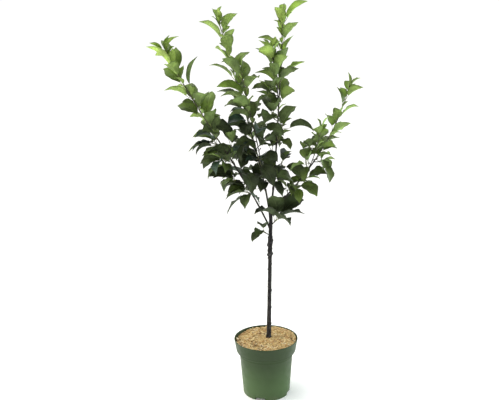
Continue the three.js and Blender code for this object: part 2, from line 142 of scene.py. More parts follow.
def off_bearing(bearing: Array, centre: float) -> Array:
    """How far bearings lie from a centre, within half a turn either way."""
    return (bearing - centre + math.pi) % TURN - math.pi


def placed_round(radius: Array | float, bearing: Array, height: Array | float) -> Array:
    """Places at a radius and a bearing about the z axis, and at a height."""
    sides = np.broadcast_arrays(radius * np.cos(bearing), radius * np.sin(bearing), height)
    return np.stack(sides, -1)


def bell(across: Array, width: float, along: Array | float = 0.0, height: float = 1.0) -> Array:
    """A round-topped bump of height one: exp(-(across / width)^2 - (along / height)^2)."""
    return np.exp(-((across / width) ** 2) - (along / height) ** 2)


def ease(low: float, high: float, values: Array) -> Array:
    """A smooth step: 0 up to low, 1 from high, and 3s^2 - 2s^3 between them."""
    share = np.clip((values - low) / (high - low), 0, 1)
    return share * share * (3 - 2 * share)


def smooth_noise(points: Array, cell: Triple, seed: int) -> Array:
    """Smooth noise in -1..1: draws at the corners of a lattice, blended by smooth steps.

    Args:
        points: Places in millimetres, in an array whose last axis has three values.
        cell: The lattice's spacing along x, y and z.
        seed: The number of this noise.

    Returns:
        One value for each point.
    """
    scaled = points / np.array(cell) + 512
    base = np.floor(scaled)
    share = scaled - base
    share = share * share * (3 - 2 * share)
    total = np.zeros(points.shape[:-1])
    for corner in np.ndindex(2, 2, 2):
        offset = np.array(corner)
        weight = np.where(offset == 1, share, 1 - share).prod(-1)
        x, y, z = np.moveaxis((base + offset).astype(np.int64), -1, 0)
        total += weight * sway(seed, x * 4096 + y, z)
    return total


@dataclass(frozen=True)
class Grain:
    """Smooth noise as a relief: its height in millimetres, its cells and its own number."""

    height: float
    cell: Triple
    seed: int

    def at(self, points: Array, seed: int = 0) -> Array:
        """How far the relief stands out at points, its number raised by one more seed."""
        return self.height * smooth_noise(points, self.cell, self.seed + seed)


# ---- surfaces ----


@dataclass
class Surface:
    """Points in millimetres with quads and triangles over them.

    The pattern coordinates have one pair for each point, and finishes one number for each face,
    the quads' first.
    """

    points: Array
    quads: Array
    triangles: Array
    pattern: Array
    finishes: Array

    @classmethod
    def of(
        cls,
        points: Array,
        quads: Array,
        triangles: Array | None = None,
        pattern: Array | None = None,
        finishes: Array | int = 0,
    ) -> "Surface":
        """A surface whose missing fields are filled in.

        Args:
            points: Places in millimetres.
            quads: Four point numbers a face.
            triangles: Three point numbers a face, or none.
            pattern: Pattern coordinates, or none for zeros.
            finishes: A number for each face, or one for all.

        Returns:
            The surface.
        """
        triangles = np.empty((0, 3), int) if triangles is None else triangles
        pattern = np.zeros((len(points), 2)) if pattern is None else pattern
        count = len(quads) + len(triangles)
        return cls(points, quads, triangles, pattern, np.broadcast_to(finishes, count).copy())

    @classmethod
    def joined(cls, surfaces: list["Surface"]) -> "Surface":
        """One surface from several, side by side."""
        starts = np.cumsum([0] + [len(s.points) for s in surfaces[:-1]])
        quads = np.concatenate([s.quads + n for s, n in zip(surfaces, starts)])
        triangles = np.concatenate([s.triangles + n for s, n in zip(surfaces, starts)])
        quad_finishes = [s.finishes[: len(s.quads)] for s in surfaces]
        triangle_finishes = [s.finishes[len(s.quads) :] for s in surfaces]
        return cls(
            np.concatenate([s.points for s in surfaces]),
            quads,
            triangles,
            np.concatenate([s.pattern for s in surfaces]),
            np.concatenate(quad_finishes + triangle_finishes),
        )

    def piece(self, name: str, materials: list[Material], crease: float = 50) -> bpy.types.Object:
        """Writes the surface as one smooth-shaded Blender mesh.

        Args:
            name: The piece's name.
            materials: What the finish numbers stand for.
            crease: The angle in degrees past which an edge stays sharp.

        Returns:
            The object, at the origin, in the scene.
        """
        loops = np.concatenate([self.quads.ravel(), self.triangles.ravel()]).astype(np.int32)
        sizes = np.repeat([4, 3], [len(self.quads), len(self.triangles)])
        starts = np.concatenate([[0], np.cumsum(sizes)[:-1]]).astype(np.int32)
        mesh = bpy.data.meshes.new(name)
        mesh.vertices.add(len(self.points))
        mesh.vertices.foreach_set("co", (self.points * MM).astype(np.float32).ravel())
        mesh.loops.add(len(loops))
        mesh.loops.foreach_set("vertex_index", loops)
        mesh.polygons.add(len(sizes))
        mesh.polygons.foreach_set("loop_start", starts)
        mesh.polygons.foreach_set("material_index", self.finishes.astype(np.int32))
        mesh.polygons.foreach_set("use_smooth", np.ones(len(sizes), bool))
        layer = mesh.uv_layers.new(name="pattern")
        layer.data.foreach_set("uv", self.pattern[loops].astype(np.float32).ravel())
        for material in materials:
            mesh.materials.append(material)
        mesh.update(calc_edges=True)
        mesh.validate()
        mesh.set_sharp_from_angle(angle=crease * DEG)
        made = bpy.data.objects.new(name, mesh)
        bpy.context.scene.collection.objects.link(made)
        return made


def grid_quads(rows: int, columns: int, closed: bool) -> Array:
    """Quads over a grid of points that is numbered row by row.

    Args:
        rows: How many rows of points.
        columns: How many points in a row.
        closed: Whether a row's last point joins its first.

    Returns:
        Point numbers, four a face.
    """
    last = columns if closed else columns - 1
    row, column = np.meshgrid(np.arange(rows - 1), np.arange(last), indexing="ij")
    here, after = row * columns + column, row * columns + (column + 1) % columns
    return np.stack([here, after, after + columns, here + columns], -1).reshape(-1, 4)


def end_fans(rows: int, columns: int) -> Array:
    """Triangles that close a grid of rings at its ends, to two points numbered just after it."""
    column = np.arange(columns)
    after, last, closing = (column + 1) % columns, (rows - 1) * columns, rows * columns
    return np.concatenate([
        np.stack([np.full(columns, closing), after, column], -1),
        np.stack([np.full(columns, closing + 1), last + column, last + after], -1),
    ])


def closed_shell(rings: Array, first: Triple, last: Triple) -> Surface:
    """Rings, rows by columns by three, joined into a shell, with a point to close each end."""
    rows, columns, _ = rings.shape
    points = np.concatenate([rings.reshape(-1, 3), [first, last]])
    return Surface.of(points, grid_quads(rows, columns, True), end_fans(rows, columns))


def repeated(faces: Array, count: int, step: int) -> Array:
    """The faces of one shape, numbered on for a count of copies of step points each."""
    return (np.arange(count)[:, None, None] * step + faces).reshape(-1, faces.shape[1])


def tubes(paths: Array, radii: Array, sides: int) -> Surface:
    """Closed round tubes of one kind along many paths: a ring of points at each station.

    A ring stands square to the path, at right * cos(a) + back * sin(a) times the radius.

    Args:
        paths: Path points, tubes by stations by three.
        radii: Radii, tubes by stations, or tubes by stations by sides for a relief.
        sides: How many points go round.

    Returns:
        The tubes, with the share round and the share along as pattern coordinates.
    """
    count, stations, _ = paths.shape
    axis = unit(np.gradient(paths, axis=1))
    level = np.abs(unit(paths[:, -1] - paths[:, 0])[:, 1:2]) < TUBE_LIMIT
    lead = np.where(level, [[0, 1, 0]], [[0, 0, 1]])
    right = unit(np.cross(lead[:, None], axis))
    back = np.cross(axis, right)
    if radii.ndim == 2:
        radii = np.repeat(radii[..., None], sides, -1)
    ring = turned(right[:, :, None], back[:, :, None], bearings(sides))
    rings = paths[:, :, None] + ring * radii[..., None]
    points = np.concatenate([rings.reshape(count, -1, 3), paths[:, :1], paths[:, -1:]], 1)
    step = stations * sides + 2
    share, side = np.linspace(0, 1, stations), np.arange(sides) / sides
    pattern = np.stack(np.meshgrid(share, side, indexing="ij")[::-1], -1).reshape(-1, 2)
    pattern = np.concatenate([pattern, [[0.5, 0], [0.5, 1]]])
    return Surface.of(
        points.reshape(-1, 3),
        repeated(grid_quads(stations, sides, True), count, step),
        repeated(end_fans(stations, sides), count, step),
        np.tile(pattern, (count, 1)),
    )


# ---- finishes ----


def linear(colour: Colour, shade: float = 1) -> tuple[float, float, float, float]:
    """A 0-255 display colour, times a shade, as the linear colour that a shader takes."""
    shares = np.array([int(min(255, channel * shade)) for channel in colour]) / 255
    low, high = shares / 12.92, ((shares + 0.055) / 1.055) ** 2.4
    return (*np.where(shares <= 0.04045, low, high).tolist(), 1.0)


class Space(Enum):
    """What a material's pattern is laid out in."""

    OBJECT = "Object"
    PATTERN = "UV"


class Paint:
    """The node tree of one material, with short calls for the nodes that finishes use."""

    def __init__(self, name: str, roughness: float, specular: float = 0.5) -> None:
        """Starts a material whose even qualities sit on the shader's own sockets."""
        self.material = bpy.data.materials.new(name)
        self.material.use_nodes = True
        self.tree = self.material.node_tree
        self.shader = self.tree.nodes["Principled BSDF"]
        self.shader.inputs["Roughness"].default_value = roughness
        self.shader.inputs["Specular IOR Level"].default_value = specular

    def add(self, kind: str, **settings: object) -> bpy.types.Node:
        """A new shader node of a kind, with its settings."""
        node = self.tree.nodes.new("ShaderNode" + kind)
        for key, value in settings.items():
            setattr(node, key, value)
        return node

    def feed(self, socket: Socket, value: object) -> None:
        """Puts a link, a number or a colour into a socket."""
        if isinstance(value, Socket):
            self.tree.links.new(value, socket)
        else:
            socket.default_value = value

    def place(self, scale: Triple = (1, 1, 1), space: Space = Space.OBJECT) -> Socket:
        """Pattern coordinates in a space, scaled along each axis."""
        mapping = self.add("Mapping")
        self.feed(mapping.inputs["Vector"], self.add("TexCoord").outputs[space.value])
        mapping.inputs["Scale"].default_value = scale
        return mapping.outputs["Vector"]

    def noise(self, where: Socket, scale: float, detail: float = 3, rough: float = 0.55) -> Socket:
        """Cloudy values of about 0.2 to 0.8."""
        node = self.add("TexNoise")
        self.feed(node.inputs["Vector"], where)
        for key, value in {"Scale": scale, "Detail": detail, "Roughness": rough}.items():
            node.inputs[key].default_value = value
        return node.outputs["Fac"]

    def cells(self, where: Socket, scale: float) -> bpy.types.Node:
        """A Voronoi node: its Distance is round each cell's middle, its Color each cell's own."""
        node = self.add("TexVoronoi")
        self.feed(node.inputs["Vector"], where)
        node.inputs["Scale"].default_value = scale
        return node

    def math(self, operation: str, first: object, second: object = 0.0) -> Socket:
        """One arithmetic node."""
        node = self.add("Math", operation=operation)
        self.feed(node.inputs[0], first)
        self.feed(node.inputs[1], second)
        return node.outputs[0]

    def band(self, value: Socket, low: float, high: float, start: float = 0, end: float = 1) -> Socket:
        """Maps low..high smoothly to start..end, and stays there outside."""
        node = self.add("MapRange", interpolation_type="SMOOTHSTEP")
        keys = ("Value", "From Min", "From Max", "To Min", "To Max")
        for key, item in zip(keys, (value, low, high, start, end)):
            self.feed(node.inputs[key], item)
        return node.outputs["Result"]

    def mix(self, share: object, first: object, second: object) -> Socket:
        """The first colour, or the second where the share is 1."""
        node = self.add("Mix", data_type="RGBA")
        self.feed(node.inputs["Factor"], share)
        self.feed(node.inputs[6], first)
        self.feed(node.inputs[7], second)
        return node.outputs[2]

    def shades(self, share: Socket, colour: Colour, factors: Pair) -> Socket:
        """One colour, darker or lighter by the first factor, or by the second where share is 1."""
        return self.mix(share, *(linear(colour, factor) for factor in factors))

    def bump(self, height: Socket, distance: float, strength: float = 1.0) -> None:
        """Lays a relief of a height in metres on the shader's normal, over any laid before."""
        node = self.add("Bump")
        node.inputs["Strength"].default_value = strength
        node.inputs["Distance"].default_value = distance
        self.feed(node.inputs["Height"], height)
        before = self.shader.inputs["Normal"].links
        if before:
            self.feed(node.inputs["Normal"], before[0].from_socket)
        self.feed(self.shader.inputs["Normal"], node.outputs["Normal"])

    def colour(self, value: Socket) -> None:
        """Sets the base colour."""
        self.feed(self.shader.inputs["Base Color"], value)

    def roughness(self, value: Socket) -> None:
        """Sets an uneven roughness."""
        self.feed(self.shader.inputs["Roughness"], value)

    def uneven_roughness(self, cloud: Socket, about: float, spread: Pair) -> None:
        """Lets the roughness drift with a cloud, by a spread below and above a value."""
        less, more = spread
        self.roughness(self.band(cloud, low=0.3, high=0.7, start=about + less, end=about + more))


@dataclass(frozen=True)
class LeafSkin:
    """One side of a leaf: midrib, side veins, a slight mottle, and a darker margin, partly its own
    paler middle and partly painted edge shade.

    Shades are factors on the blade's colour, shares say how strongly a mark shows, and depths
    are in metres.
    """

    name: str
    blade: Colour
    vein: Colour
    roughness: float = 0.42
    specular: float = 0.5
    vein_pairs: float = 9.0
    vein_lean: float = 2.6
    vein_share: float = 0.5
    side_vein_share: float = 0.45
    mottle_shades: Pair = (0.84, 1.13)
    margin_painted_shade: float = 0.62
    margin_painted_share: float = 0.55
    vein_sink: float = 0.35
    puff_depth: float = 0.0005
    down_depth: float = 0.00012
    sunken: bool = True

    def make(self) -> Material:
        """The material: patterns run on the blade's own across and along coordinates."""
        paint = Paint(self.name, self.roughness, self.specular)
        split = paint.add("SeparateXYZ")
        paint.feed(split.inputs[0], paint.place(space=Space.PATTERN))
        off = paint.math("ABSOLUTE", paint.math("SUBTRACT", split.outputs["X"], 0.5))
        along = paint.math("MULTIPLY", split.outputs["Y"], self.vein_pairs)
        phase = paint.math("SUBTRACT", along, paint.math("MULTIPLY", off, 2 * self.vein_lean))
        wave = paint.math("PINGPONG", phase, 0.5)
        line = paint.band(wave, low=0.0, high=0.1, start=1, end=0)
        ribs = paint.math("MULTIPLY", line, paint.band(off, low=0.2, high=0.5, start=1, end=0.2))
        midrib = paint.band(off, low=0.006, high=0.03, start=1, end=0)
        veins = paint.math("MAXIMUM", midrib, paint.math("MULTIPLY", ribs, self.side_vein_share))
        where = paint.place()
        mottle = paint.band(paint.noise(where, scale=26), low=0.34, high=0.66)
        base = paint.shades(mottle, self.blade, self.mottle_shades)
        # darker towards the margin: partly the blade's own paler middle, partly painted edge shade
        margin = paint.band(off, low=0.26, high=0.5, start=0, end=self.margin_painted_share)
        base = paint.mix(margin, base, linear(self.blade, self.margin_painted_shade))
        shown = paint.math("MULTIPLY", veins, self.vein_share)
        paint.colour(paint.mix(shown, base, linear(self.vein)))
        paint.uneven_roughness(paint.noise(where, scale=140), self.roughness, (-0.07, 0.08))
        puff = paint.math("SUBTRACT", wave, paint.math("MULTIPLY", veins, self.vein_sink))
        if not self.sunken:
            puff = paint.math("MULTIPLY", puff, -1.0)
        paint.bump(puff, self.puff_depth)
        paint.bump(paint.noise(where, scale=900, detail=2), self.down_depth, strength=0.5)
        return paint.material


@dataclass(frozen=True)
class TwigSkin:
    """Green or brown young wood with pale specks. Depths are in metres."""

    name: str
    wood: Colour
    speck: Colour
    roughness: float = 0.6
    specular: float = 0.35
    streak_shades: Pair = (0.75, 1.2)
    streak_depth: float = 0.0003
    grain: float = 420

    def make(self) -> Material:
        """The material: streaks along the shoot and small specks on them."""
        paint = Paint(self.name, self.roughness, self.specular)
        where = paint.place()
        streak = paint.noise(paint.place((1, 1, 0.25)), self.grain)
        base = paint.shades(streak, self.wood, self.streak_shades)
        near = paint.cells(where, self.grain).outputs["Distance"]
        specks = paint.band(near, low=0.12, high=0.24, start=0.6, end=0)
        paint.colour(paint.mix(specks, base, linear(self.speck)))
        paint.bump(streak, self.streak_depth, strength=0.7)
        return paint.material


@dataclass(frozen=True)
class BarkSkin:
    """Smooth dark bark with pale lenticels, a grey bloom and fine cracks. Depths are in metres."""

    name: str
    dark: Colour
    mid: Colour
    pale: Colour
    roughness: float = 0.72
    specular: float = 0.08
    bloom_share: float = 0.45
    bloom_shade: float = 0.8
    lenticel_share: float = 0.75
    lenticel_depth: float = 0.0005
    crack_depth: float = 0.0004

    def make(self) -> Material:
        """The material: clouds of bloom, cross-wise lenticels and long fine cracks.

        Lenticels are flat cells of a Voronoi pattern, kept where the cell's own number is high.
        """
        paint = Paint(self.name, self.roughness, self.specular)
        where = paint.place()
        cloud = paint.noise(paint.place((1, 1, 0.35)), scale=130, detail=5, rough=0.65)
        base = paint.mix(paint.band(cloud, low=0.36, high=0.66), linear(self.dark), linear(self.mid))
        lenticel = paint.cells(paint.place((1, 1, 2.4)), scale=210)
        number = paint.add("SeparateColor")
        paint.feed(number.inputs[0], lenticel.outputs["Color"])
        kept = paint.band(number.outputs[0], low=0.55, high=0.62)
        middle = paint.band(lenticel.outputs["Distance"], low=0.16, high=0.3, start=1, end=0)
        mark = paint.math("MULTIPLY", middle, kept)
        patch = paint.noise(where, scale=46, detail=4, rough=0.7)
        bloom = paint.band(patch, low=0.54, high=0.72, start=0, end=self.bloom_share)
        base = paint.mix(bloom, base, linear(self.pale, self.bloom_shade))
        shown = paint.math("MULTIPLY", mark, self.lenticel_share)
        paint.colour(paint.mix(shown, base, linear(self.pale)))
        long = paint.noise(paint.place((1, 1, 0.12)), scale=700, detail=4, rough=0.6)
        paint.uneven_roughness(cloud, self.roughness, (-0.14, 0.1))
        paint.bump(paint.band(long, low=0.4, high=0.6), self.crack_depth, strength=0.6)
        paint.bump(mark, self.lenticel_depth, strength=0.8)
        return paint.material


@dataclass(frozen=True)
class PotSkin:
    """Satin green plastic with moulding lines, faint scuffs, a little dust at the foot, and painted
    light and shade by height.

    Heights and depths are in metres. The ledge is the stretch under the rim band that stays dull.
    """

    name: str
    green: Colour
    dust: Colour
    foot: float
    ledge: Pair
    roughness: float = 0.45
    specular: float = 0.24
    painted_light_heights: Pair = (0.05, 0.21)
    painted_light_shades: Pair = (1.2, 0.84)
    scuff_shade: float = 1.35
    scuff_share: float = 0.16
    dust_share: float = 0.4
    ledge_roughness: float = 0.72
    ring_depth: float = 0.00006
    grain_depth: float = 0.00005

    def make(self) -> Material:
        """The material: painted light towards the foot, painted shade up the band, a dull ledge,
        scuffs and dust.
        """
        paint = Paint(self.name, self.roughness, self.specular)
        where = paint.place()
        split = paint.add("SeparateXYZ")
        paint.feed(split.inputs[0], where)
        height = split.outputs["Z"]
        # painted light and shade: the green is lighter towards the foot and darker up the rim band
        drift = paint.math("MULTIPLY", paint.noise(where, scale=9), 0.03)
        painted_light = paint.band(paint.math("ADD", height, drift), *self.painted_light_heights)
        base = paint.shades(painted_light, self.green, self.painted_light_shades)
        streak = paint.noise(paint.place((1, 1, 0.1)), scale=260, detail=4, rough=0.7)
        scuff = paint.band(streak, low=0.6, high=0.75, start=0, end=self.scuff_share)
        base = paint.mix(scuff, base, linear(self.green, self.scuff_shade))
        low = paint.band(height, low=0.0, high=self.foot, start=1, end=0)
        cloud = paint.noise(where, scale=60, detail=5, rough=0.7)
        patch = paint.band(cloud, low=0.4, high=0.7, start=0, end=self.dust_share)
        paint.colour(paint.mix(paint.math("MULTIPLY", low, patch), base, linear(self.dust)))
        gloss = paint.band(paint.noise(where, scale=35, detail=4), low=0.3, high=0.7,
                           start=self.roughness - 0.07, end=self.roughness + 0.12)
        ledge_foot, ledge_top = self.ledge
        below = paint.band(height, low=ledge_foot - 0.012, high=ledge_foot)
        above = paint.band(height, low=ledge_top, high=ledge_top + 0.006,
                           start=self.ledge_roughness, end=0)
        paint.roughness(paint.math("MAXIMUM", gloss, paint.math("MULTIPLY", below, above)))
        rings = paint.add("TexWave", bands_direction="Z")
        paint.feed(rings.inputs["Vector"], where)
        rings.inputs["Scale"].default_value = 140
        rings.inputs["Distortion"].default_value = 0.6
        paint.bump(rings.outputs["Fac"], self.ring_depth, strength=0.5)
        paint.bump(paint.noise(where, scale=1400, detail=2), self.grain_depth, strength=0.5)
        return paint.material


@dataclass(frozen=True)
class ChipSkin:
    """Split bark or wood: grain along the chip, darker in its furrows. The depth is in metres."""

    name: str
    wood: Colour
    roughness: float = 0.85
    specular: float = 0.25
    blotch_shades: Pair = (0.86, 1.12)
    furrow_shade: float = 0.55
    furrow_share: float = 0.42
    fibre_depth: float = 0.0006

    def make(self) -> Material:
        """The material: fibres on the chip's own coordinates, and blotches over all chips."""
        paint = Paint(self.name, self.roughness, self.specular)
        where = paint.place()
        fibre = paint.noise(paint.place((9, 1.5, 1), Space.PATTERN), scale=3, detail=5, rough=0.7)
        blotch = paint.noise(where, scale=170, detail=4, rough=0.65)
        base = paint.shades(paint.band(blotch, low=0.3, high=0.7), self.wood, self.blotch_shades)
        furrow = paint.band(fibre, low=0.38, high=0.56, start=self.furrow_share, end=0)
        paint.colour(paint.mix(furrow, base, linear(self.wood, self.furrow_shade)))
        paint.bump(fibre, self.fibre_depth, strength=0.8)
        return paint.material


@dataclass(frozen=True)
class SoilSkin:
    """Crumbly earth or crumbs of bark with paler specks. Grain and depth are in metres."""

    name: str
    earth: Colour
    speck: Colour
    grain: float
    roughness: float = 0.95
    specular: float = 0.2
    cloud_shades: Pair = (0.6, 1.0)
    speck_spacing: float = 0.6
    crumb_depth: float = 0.001

    def make(self) -> Material:
        """The material: crumbs of a grain in metres, and specks among them."""
        paint = Paint(self.name, self.roughness, self.specular)
        where = paint.place()
        crumbs = paint.cells(where, 1 / self.grain)
        cloud = paint.noise(where, scale=90, detail=5, rough=0.7)
        base = paint.shades(paint.band(cloud, low=0.3, high=0.7), self.earth, self.cloud_shades)
        near = paint.cells(where, self.speck_spacing / self.grain).outputs["Distance"]
        specks = paint.band(near, low=0.08, high=0.16, start=0.8, end=0)
        paint.colour(paint.mix(specks, base, linear(self.speck)))
        paint.bump(crumbs.outputs["Distance"], self.crumb_depth)
        return paint.material


@dataclass(frozen=True)
class FloorSkin:
    """A plain pale light table."""

    name: str = "pale_floor"
    paint_colour: Colour = (250, 250, 249)
    roughness: float = 0.9
    specular: float = 0.1
    cloud_shades: Pair = (0.995, 1.0)
    glow: float = 0.16

    def make(self) -> Material:
        """The material: nearly even, with a faint cloud, lit a little from below."""
        paint = Paint(self.name, self.roughness, self.specular)
        paint.shader.inputs["Emission Color"].default_value = (1, 1, 1, 1)
        paint.shader.inputs["Emission Strength"].default_value = self.glow
        cloud = paint.noise(paint.place(), scale=1.5, detail=2)
        paint.colour(paint.shades(cloud, self.paint_colour, self.cloud_shades))
        return paint.material


class Tone(Enum):
    """The tones of foliage: lighter at a shoot's young tip, darker with age, and darker low inside the
    crown as painted shade.
    """

    TIP = 0
    YOUNG = 1
    SUN = 2
    GROWN = 3
    OLD = 4
    SHADE = 5
    SHEEN = 6


class Wood(Enum):
    """The ages of a twig's wood, and the stalks of leaves."""

    OLD = 0
    YOUNG = 1
    GREEN = 2
    STALK = 3


Side = tuple[Colour, Colour, float]
# Copies of the leaf green from light to dark: age and painted shade (how low a leaf hangs, and its
# mass's sun) choose among them.
LEAF_TONES: dict[Tone, tuple[Side, Side]] = {
    Tone.TIP: (((128, 160, 58), (174, 199, 97), 0.3), ((143, 169, 82), (183, 202, 112), 0.18)),
    Tone.YOUNG: (((102, 128, 48), (147, 169, 84), 0.28), ((126, 150, 78), (166, 185, 107), 0.17)),
    Tone.SUN: (((88, 108, 46), (129, 147, 79), 0.26), ((104, 125, 70), (143, 160, 99), 0.16)),
    Tone.GROWN: (((77, 93, 44), (115, 129, 74), 0.22), ((90, 106, 63), (128, 141, 91), 0.13)),
    Tone.OLD: (((68, 82, 46), (104, 117, 72), 0.18), ((79, 93, 60), (113, 125, 85), 0.11)),
    Tone.SHADE: (((57, 67, 43), (88, 98, 64), 0.14), ((69, 79, 57), (100, 110, 80), 0.08)),
    # SHEEN's bluish green is a painted sheen, on a glossier leaf.
    Tone.SHEEN: (((44, 64, 50), (80, 100, 82), 0.4), ((66, 84, 70), (98, 114, 96), 0.25)),
}
LEAF_ROUGHNESS = 0.46
SHEEN_ROUGHNESS = 0.36
UNDER_ROUGHNESS = 0.68
WOOD_SKINS: dict[Wood, TwigSkin] = {
    Wood.OLD: TwigSkin("wood_old", (44, 41, 34), (96, 92, 80)),
    Wood.YOUNG: TwigSkin("wood_young", (62, 60, 42), (120, 116, 88)),
    Wood.GREEN: TwigSkin("wood_green", (92, 100, 54), (138, 142, 92)),
    Wood.STALK: TwigSkin("leaf_stalk", (118, 122, 78), (150, 134, 104), 0.5),
}
CHIP_SKINS: tuple[ChipSkin, ...] = (
    ChipSkin("chip_tan", (202, 174, 119)),
    ChipSkin("chip_straw", (216, 193, 143)),
    ChipSkin("chip_red", (186, 146, 98)),
    ChipSkin("chip_cream", (232, 213, 176)),
    ChipSkin("chip_dark", (108, 88, 60)),
)
TRUNK_BARK = BarkSkin("trunk_bark", (28, 27, 28), (58, 56, 56), (132, 130, 127))
LIMB_BARK = BarkSkin("limb_bark", (28, 27, 25), (52, 50, 44), (112, 110, 100))
POT_GREEN = PotSkin("pot_green", (57, 76, 45), (104, 106, 84), 0.03, (0.168, 0.184))
POTTING_SOIL = SoilSkin("potting_soil", (58, 44, 34), (150, 140, 122), 0.004)
MULCH_CRUMBS = SoilSkin("mulch_crumbs", (168, 140, 92), (208, 184, 134), 0.0025)


def leaf_skins(tone: Tone) -> tuple[LeafSkin, LeafSkin]:
    """The upper and the lower side of the leaves of a tone."""
    upper, lower = LEAF_TONES[tone]
    name = f"leaf_{tone.name.lower()}"
    rough = SHEEN_ROUGHNESS if tone is Tone.SHEEN else LEAF_ROUGHNESS
    over = LeafSkin(name, upper[0], upper[1], rough, upper[2])
    return over, LeafSkin(name + "_under", lower[0], lower[1], UNDER_ROUGHNESS, lower[2], sunken=False)


# ---- growth, by the rule of the part's source ----


@dataclass(frozen=True)
class Curve:
    """A cubic curve through two ends with two handles."""

    controls: Array

    def points(self, share: Array | float) -> Array:
        """Places at shares of the curve: the sum of the four controls with cubic weights."""
        t = np.asarray(share, float)[..., None]
        a, b, c, d = self.controls
        return a * (1 - t) ** 3 + 3 * b * t * (1 - t) ** 2 + 3 * c * t**2 * (1 - t) + d * t**3

    def tangents(self, share: Array | float) -> Array:
        """Unit directions at shares of the curve, from its derivative."""
        t = np.asarray(share, float)[..., None]
        a, b, c, d = self.controls
        return unit((b - a) * (1 - t) ** 2 + 2 * (c - b) * t * (1 - t) + (d - c) * t**2)


@dataclass(frozen=True)
class Habit:
    """How spurs and leaves are set, and how a leaf flies.

    Angles are in degrees and a leaf's measures are shares of its length. A spread is a half
    range about the middle, and a `more` is the most that a draw adds.
    """

    stalk: float = 0.24
    stalk_more: float = 0.1
    lift: float = 0.12
    outward: float = 0.4
    rise_share: float = 0.8
    rise: float = 14
    rise_spread: float = 18
    droop: float = 42
    droop_age: float = 38
    droop_spread: float = 18
    droop_power: float = 1.3
    swing_spread: float = 24
    roll_spread: float = 55
    roll_start: float = 0.5
    fold: float = 12
    fold_more: float = 22
    fold_fade: float = 0.4
    breadth: float = 0.64
    breadth_spread: float = 0.12
    outline_skew: float = 0.85
    outline_power: float = 0.75
    spur_place: float = 0.3
    spur_place_more: float = 0.4
    spur_along: float = 0.55
    spur_out: float = 0.85
    spur_length: float = 14
    spur_length_more: float = 22
    rosette: int = 3
    rosette_extra_over: float = 0.55
    rosette_turns: float = 3
    rosette_turn_spread: float = 0.4
    rosette_size: float = 0.95
    rosette_size_spread: float = 0.2
    rosette_last: float = 0.8
    rosette_sunk: float = 1.5
    rosette_youth: float = 0.5
    spur_angle: float = 52
    spur_angle_spread: float = 14
    single_place: float = 0.3
    single_crowding: float = 1.2
    single_highest: float = 0.99
    single_age: float = 0.55
    single_turn: float = 1.3
    single_turn_spread: float = 22
    single_size_spread: float = 0.14
    single_angle: float = 42
    single_angle_spread: float = 10
    young_angle: float = 18
    youngest: float = 0.42
    growth: float = 0.19
    small_angle: float = 16
    small_angle_more: float = 20


@dataclass(frozen=True)
class Seat:
    """A place for half-grown leaves: their least length, the most a draw adds, and their age."""

    least: float
    more: float
    age: float


class Item:
    """The numbers that draws are dealt by: a shoot's own, and the first of each kind."""

    SHOOT = 999
    SMALL_SHOOT = 998
    SPUR = 500
    ROSETTE = 100
    ROSETTE_STEP = 20
    SMALL = 800
    SHOOT_STEP = 1000


HABIT = Habit()
SPUR_SEAT = Seat(48, 30, 0.5)
AXIL_SEAT = Seat(34, 26, 0.3)
TIP_SEAT = Seat(24, 24, 0.0)


@dataclass(frozen=True)
class Dress:
    """How dressed leaves depart from the rule's: more folded, and narrower the younger."""

    low: float = 1030
    high: float = 1310
    age_share: float = 0.3
    fold: float = 5
    young_fold: float = 5
    breadth: float = 1.04
    young_breadth: float = 0.2

    def leaf(self, plain: "Leaf") -> "Leaf":
        """The leaf as it is dressed, on the same midrib."""
        young = float(ease(self.low, self.high, plain.end[2])) * (1 - self.age_share * plain.age)
        fold = plain.fold + (self.fold + self.young_fold * young) * DEG
        breadth = plain.breadth * (self.breadth - self.young_breadth * young)
        return replace(plain, breadth=breadth, fold=fold)


@dataclass(frozen=True)
class Leaf:
    """One leaf: its stalk from root to end, and how its blade flies, droops and folds."""

    root: Array
    end: Array
    start: Array
    stem: Array
    heading: Array
    length: float
    age: float
    rise: float
    droop: float
    swing: float
    roll: float
    fold: float
    breadth: float
    ident: int

    @classmethod
    def grown(
        cls,
        root: Array,
        stem: Array,
        bearing: float,
        angle: float,
        length: float,
        age: float,
        seed: int,
        item: int,
    ) -> "Leaf":
        """Grows a leaf on a twig.

        Args:
            root: Where its stalk leaves the twig.
            stem: The twig's direction.
            bearing: The side of the twig it grows on, in radians.
            angle: Between the twig and the stalk, in radians.
            length: Of the blade.
            age: From 0 at a shoot's tip to 1.
            seed: The shoot's number.
            item: The leaf's number on it.

        Returns:
            The leaf.
        """
        outward = turned(*stem_frame(stem), bearing)
        start = turned(stem, outward, angle)
        stalk = length * (HABIT.stalk + HABIT.stalk_more * draw(seed, item, 4))
        way = unit(start + np.array([0, 0, HABIT.lift]))
        level = np.array([1, 1, 0]) * (start + HABIT.outward * outward)
        steep = HABIT.rise_share * math.asin(min(1, max(-1, start[2])))
        droop = HABIT.droop + HABIT.droop_age * age + HABIT.droop_spread * sway(seed, item, 6)
        return cls(
            root=root,
            end=root + way * stalk,
            start=start,
            stem=stem,
            heading=unit(level),
            length=float(length),
            age=float(age),
            rise=float(steep + (HABIT.rise + HABIT.rise_spread * sway(seed, item, 5)) * DEG),
            droop=float(droop * DEG),
            swing=float(HABIT.swing_spread * sway(seed, item, 7) * DEG),
            roll=float(HABIT.roll_spread * sway(seed, item, 8) * DEG),
            fold=float((HABIT.fold + HABIT.fold_more * draw(seed, item, 9)) * DEG),
            breadth=float(HABIT.breadth * (1 + HABIT.breadth_spread * sway(seed, item, 10))),
            ident=seed * Item.SHOOT_STEP + item,
        )


def gathered(items: list, name: str) -> Array:
    """One quality of many leaves or spurs, as an array."""
    return np.array([getattr(item, name) for item in items])


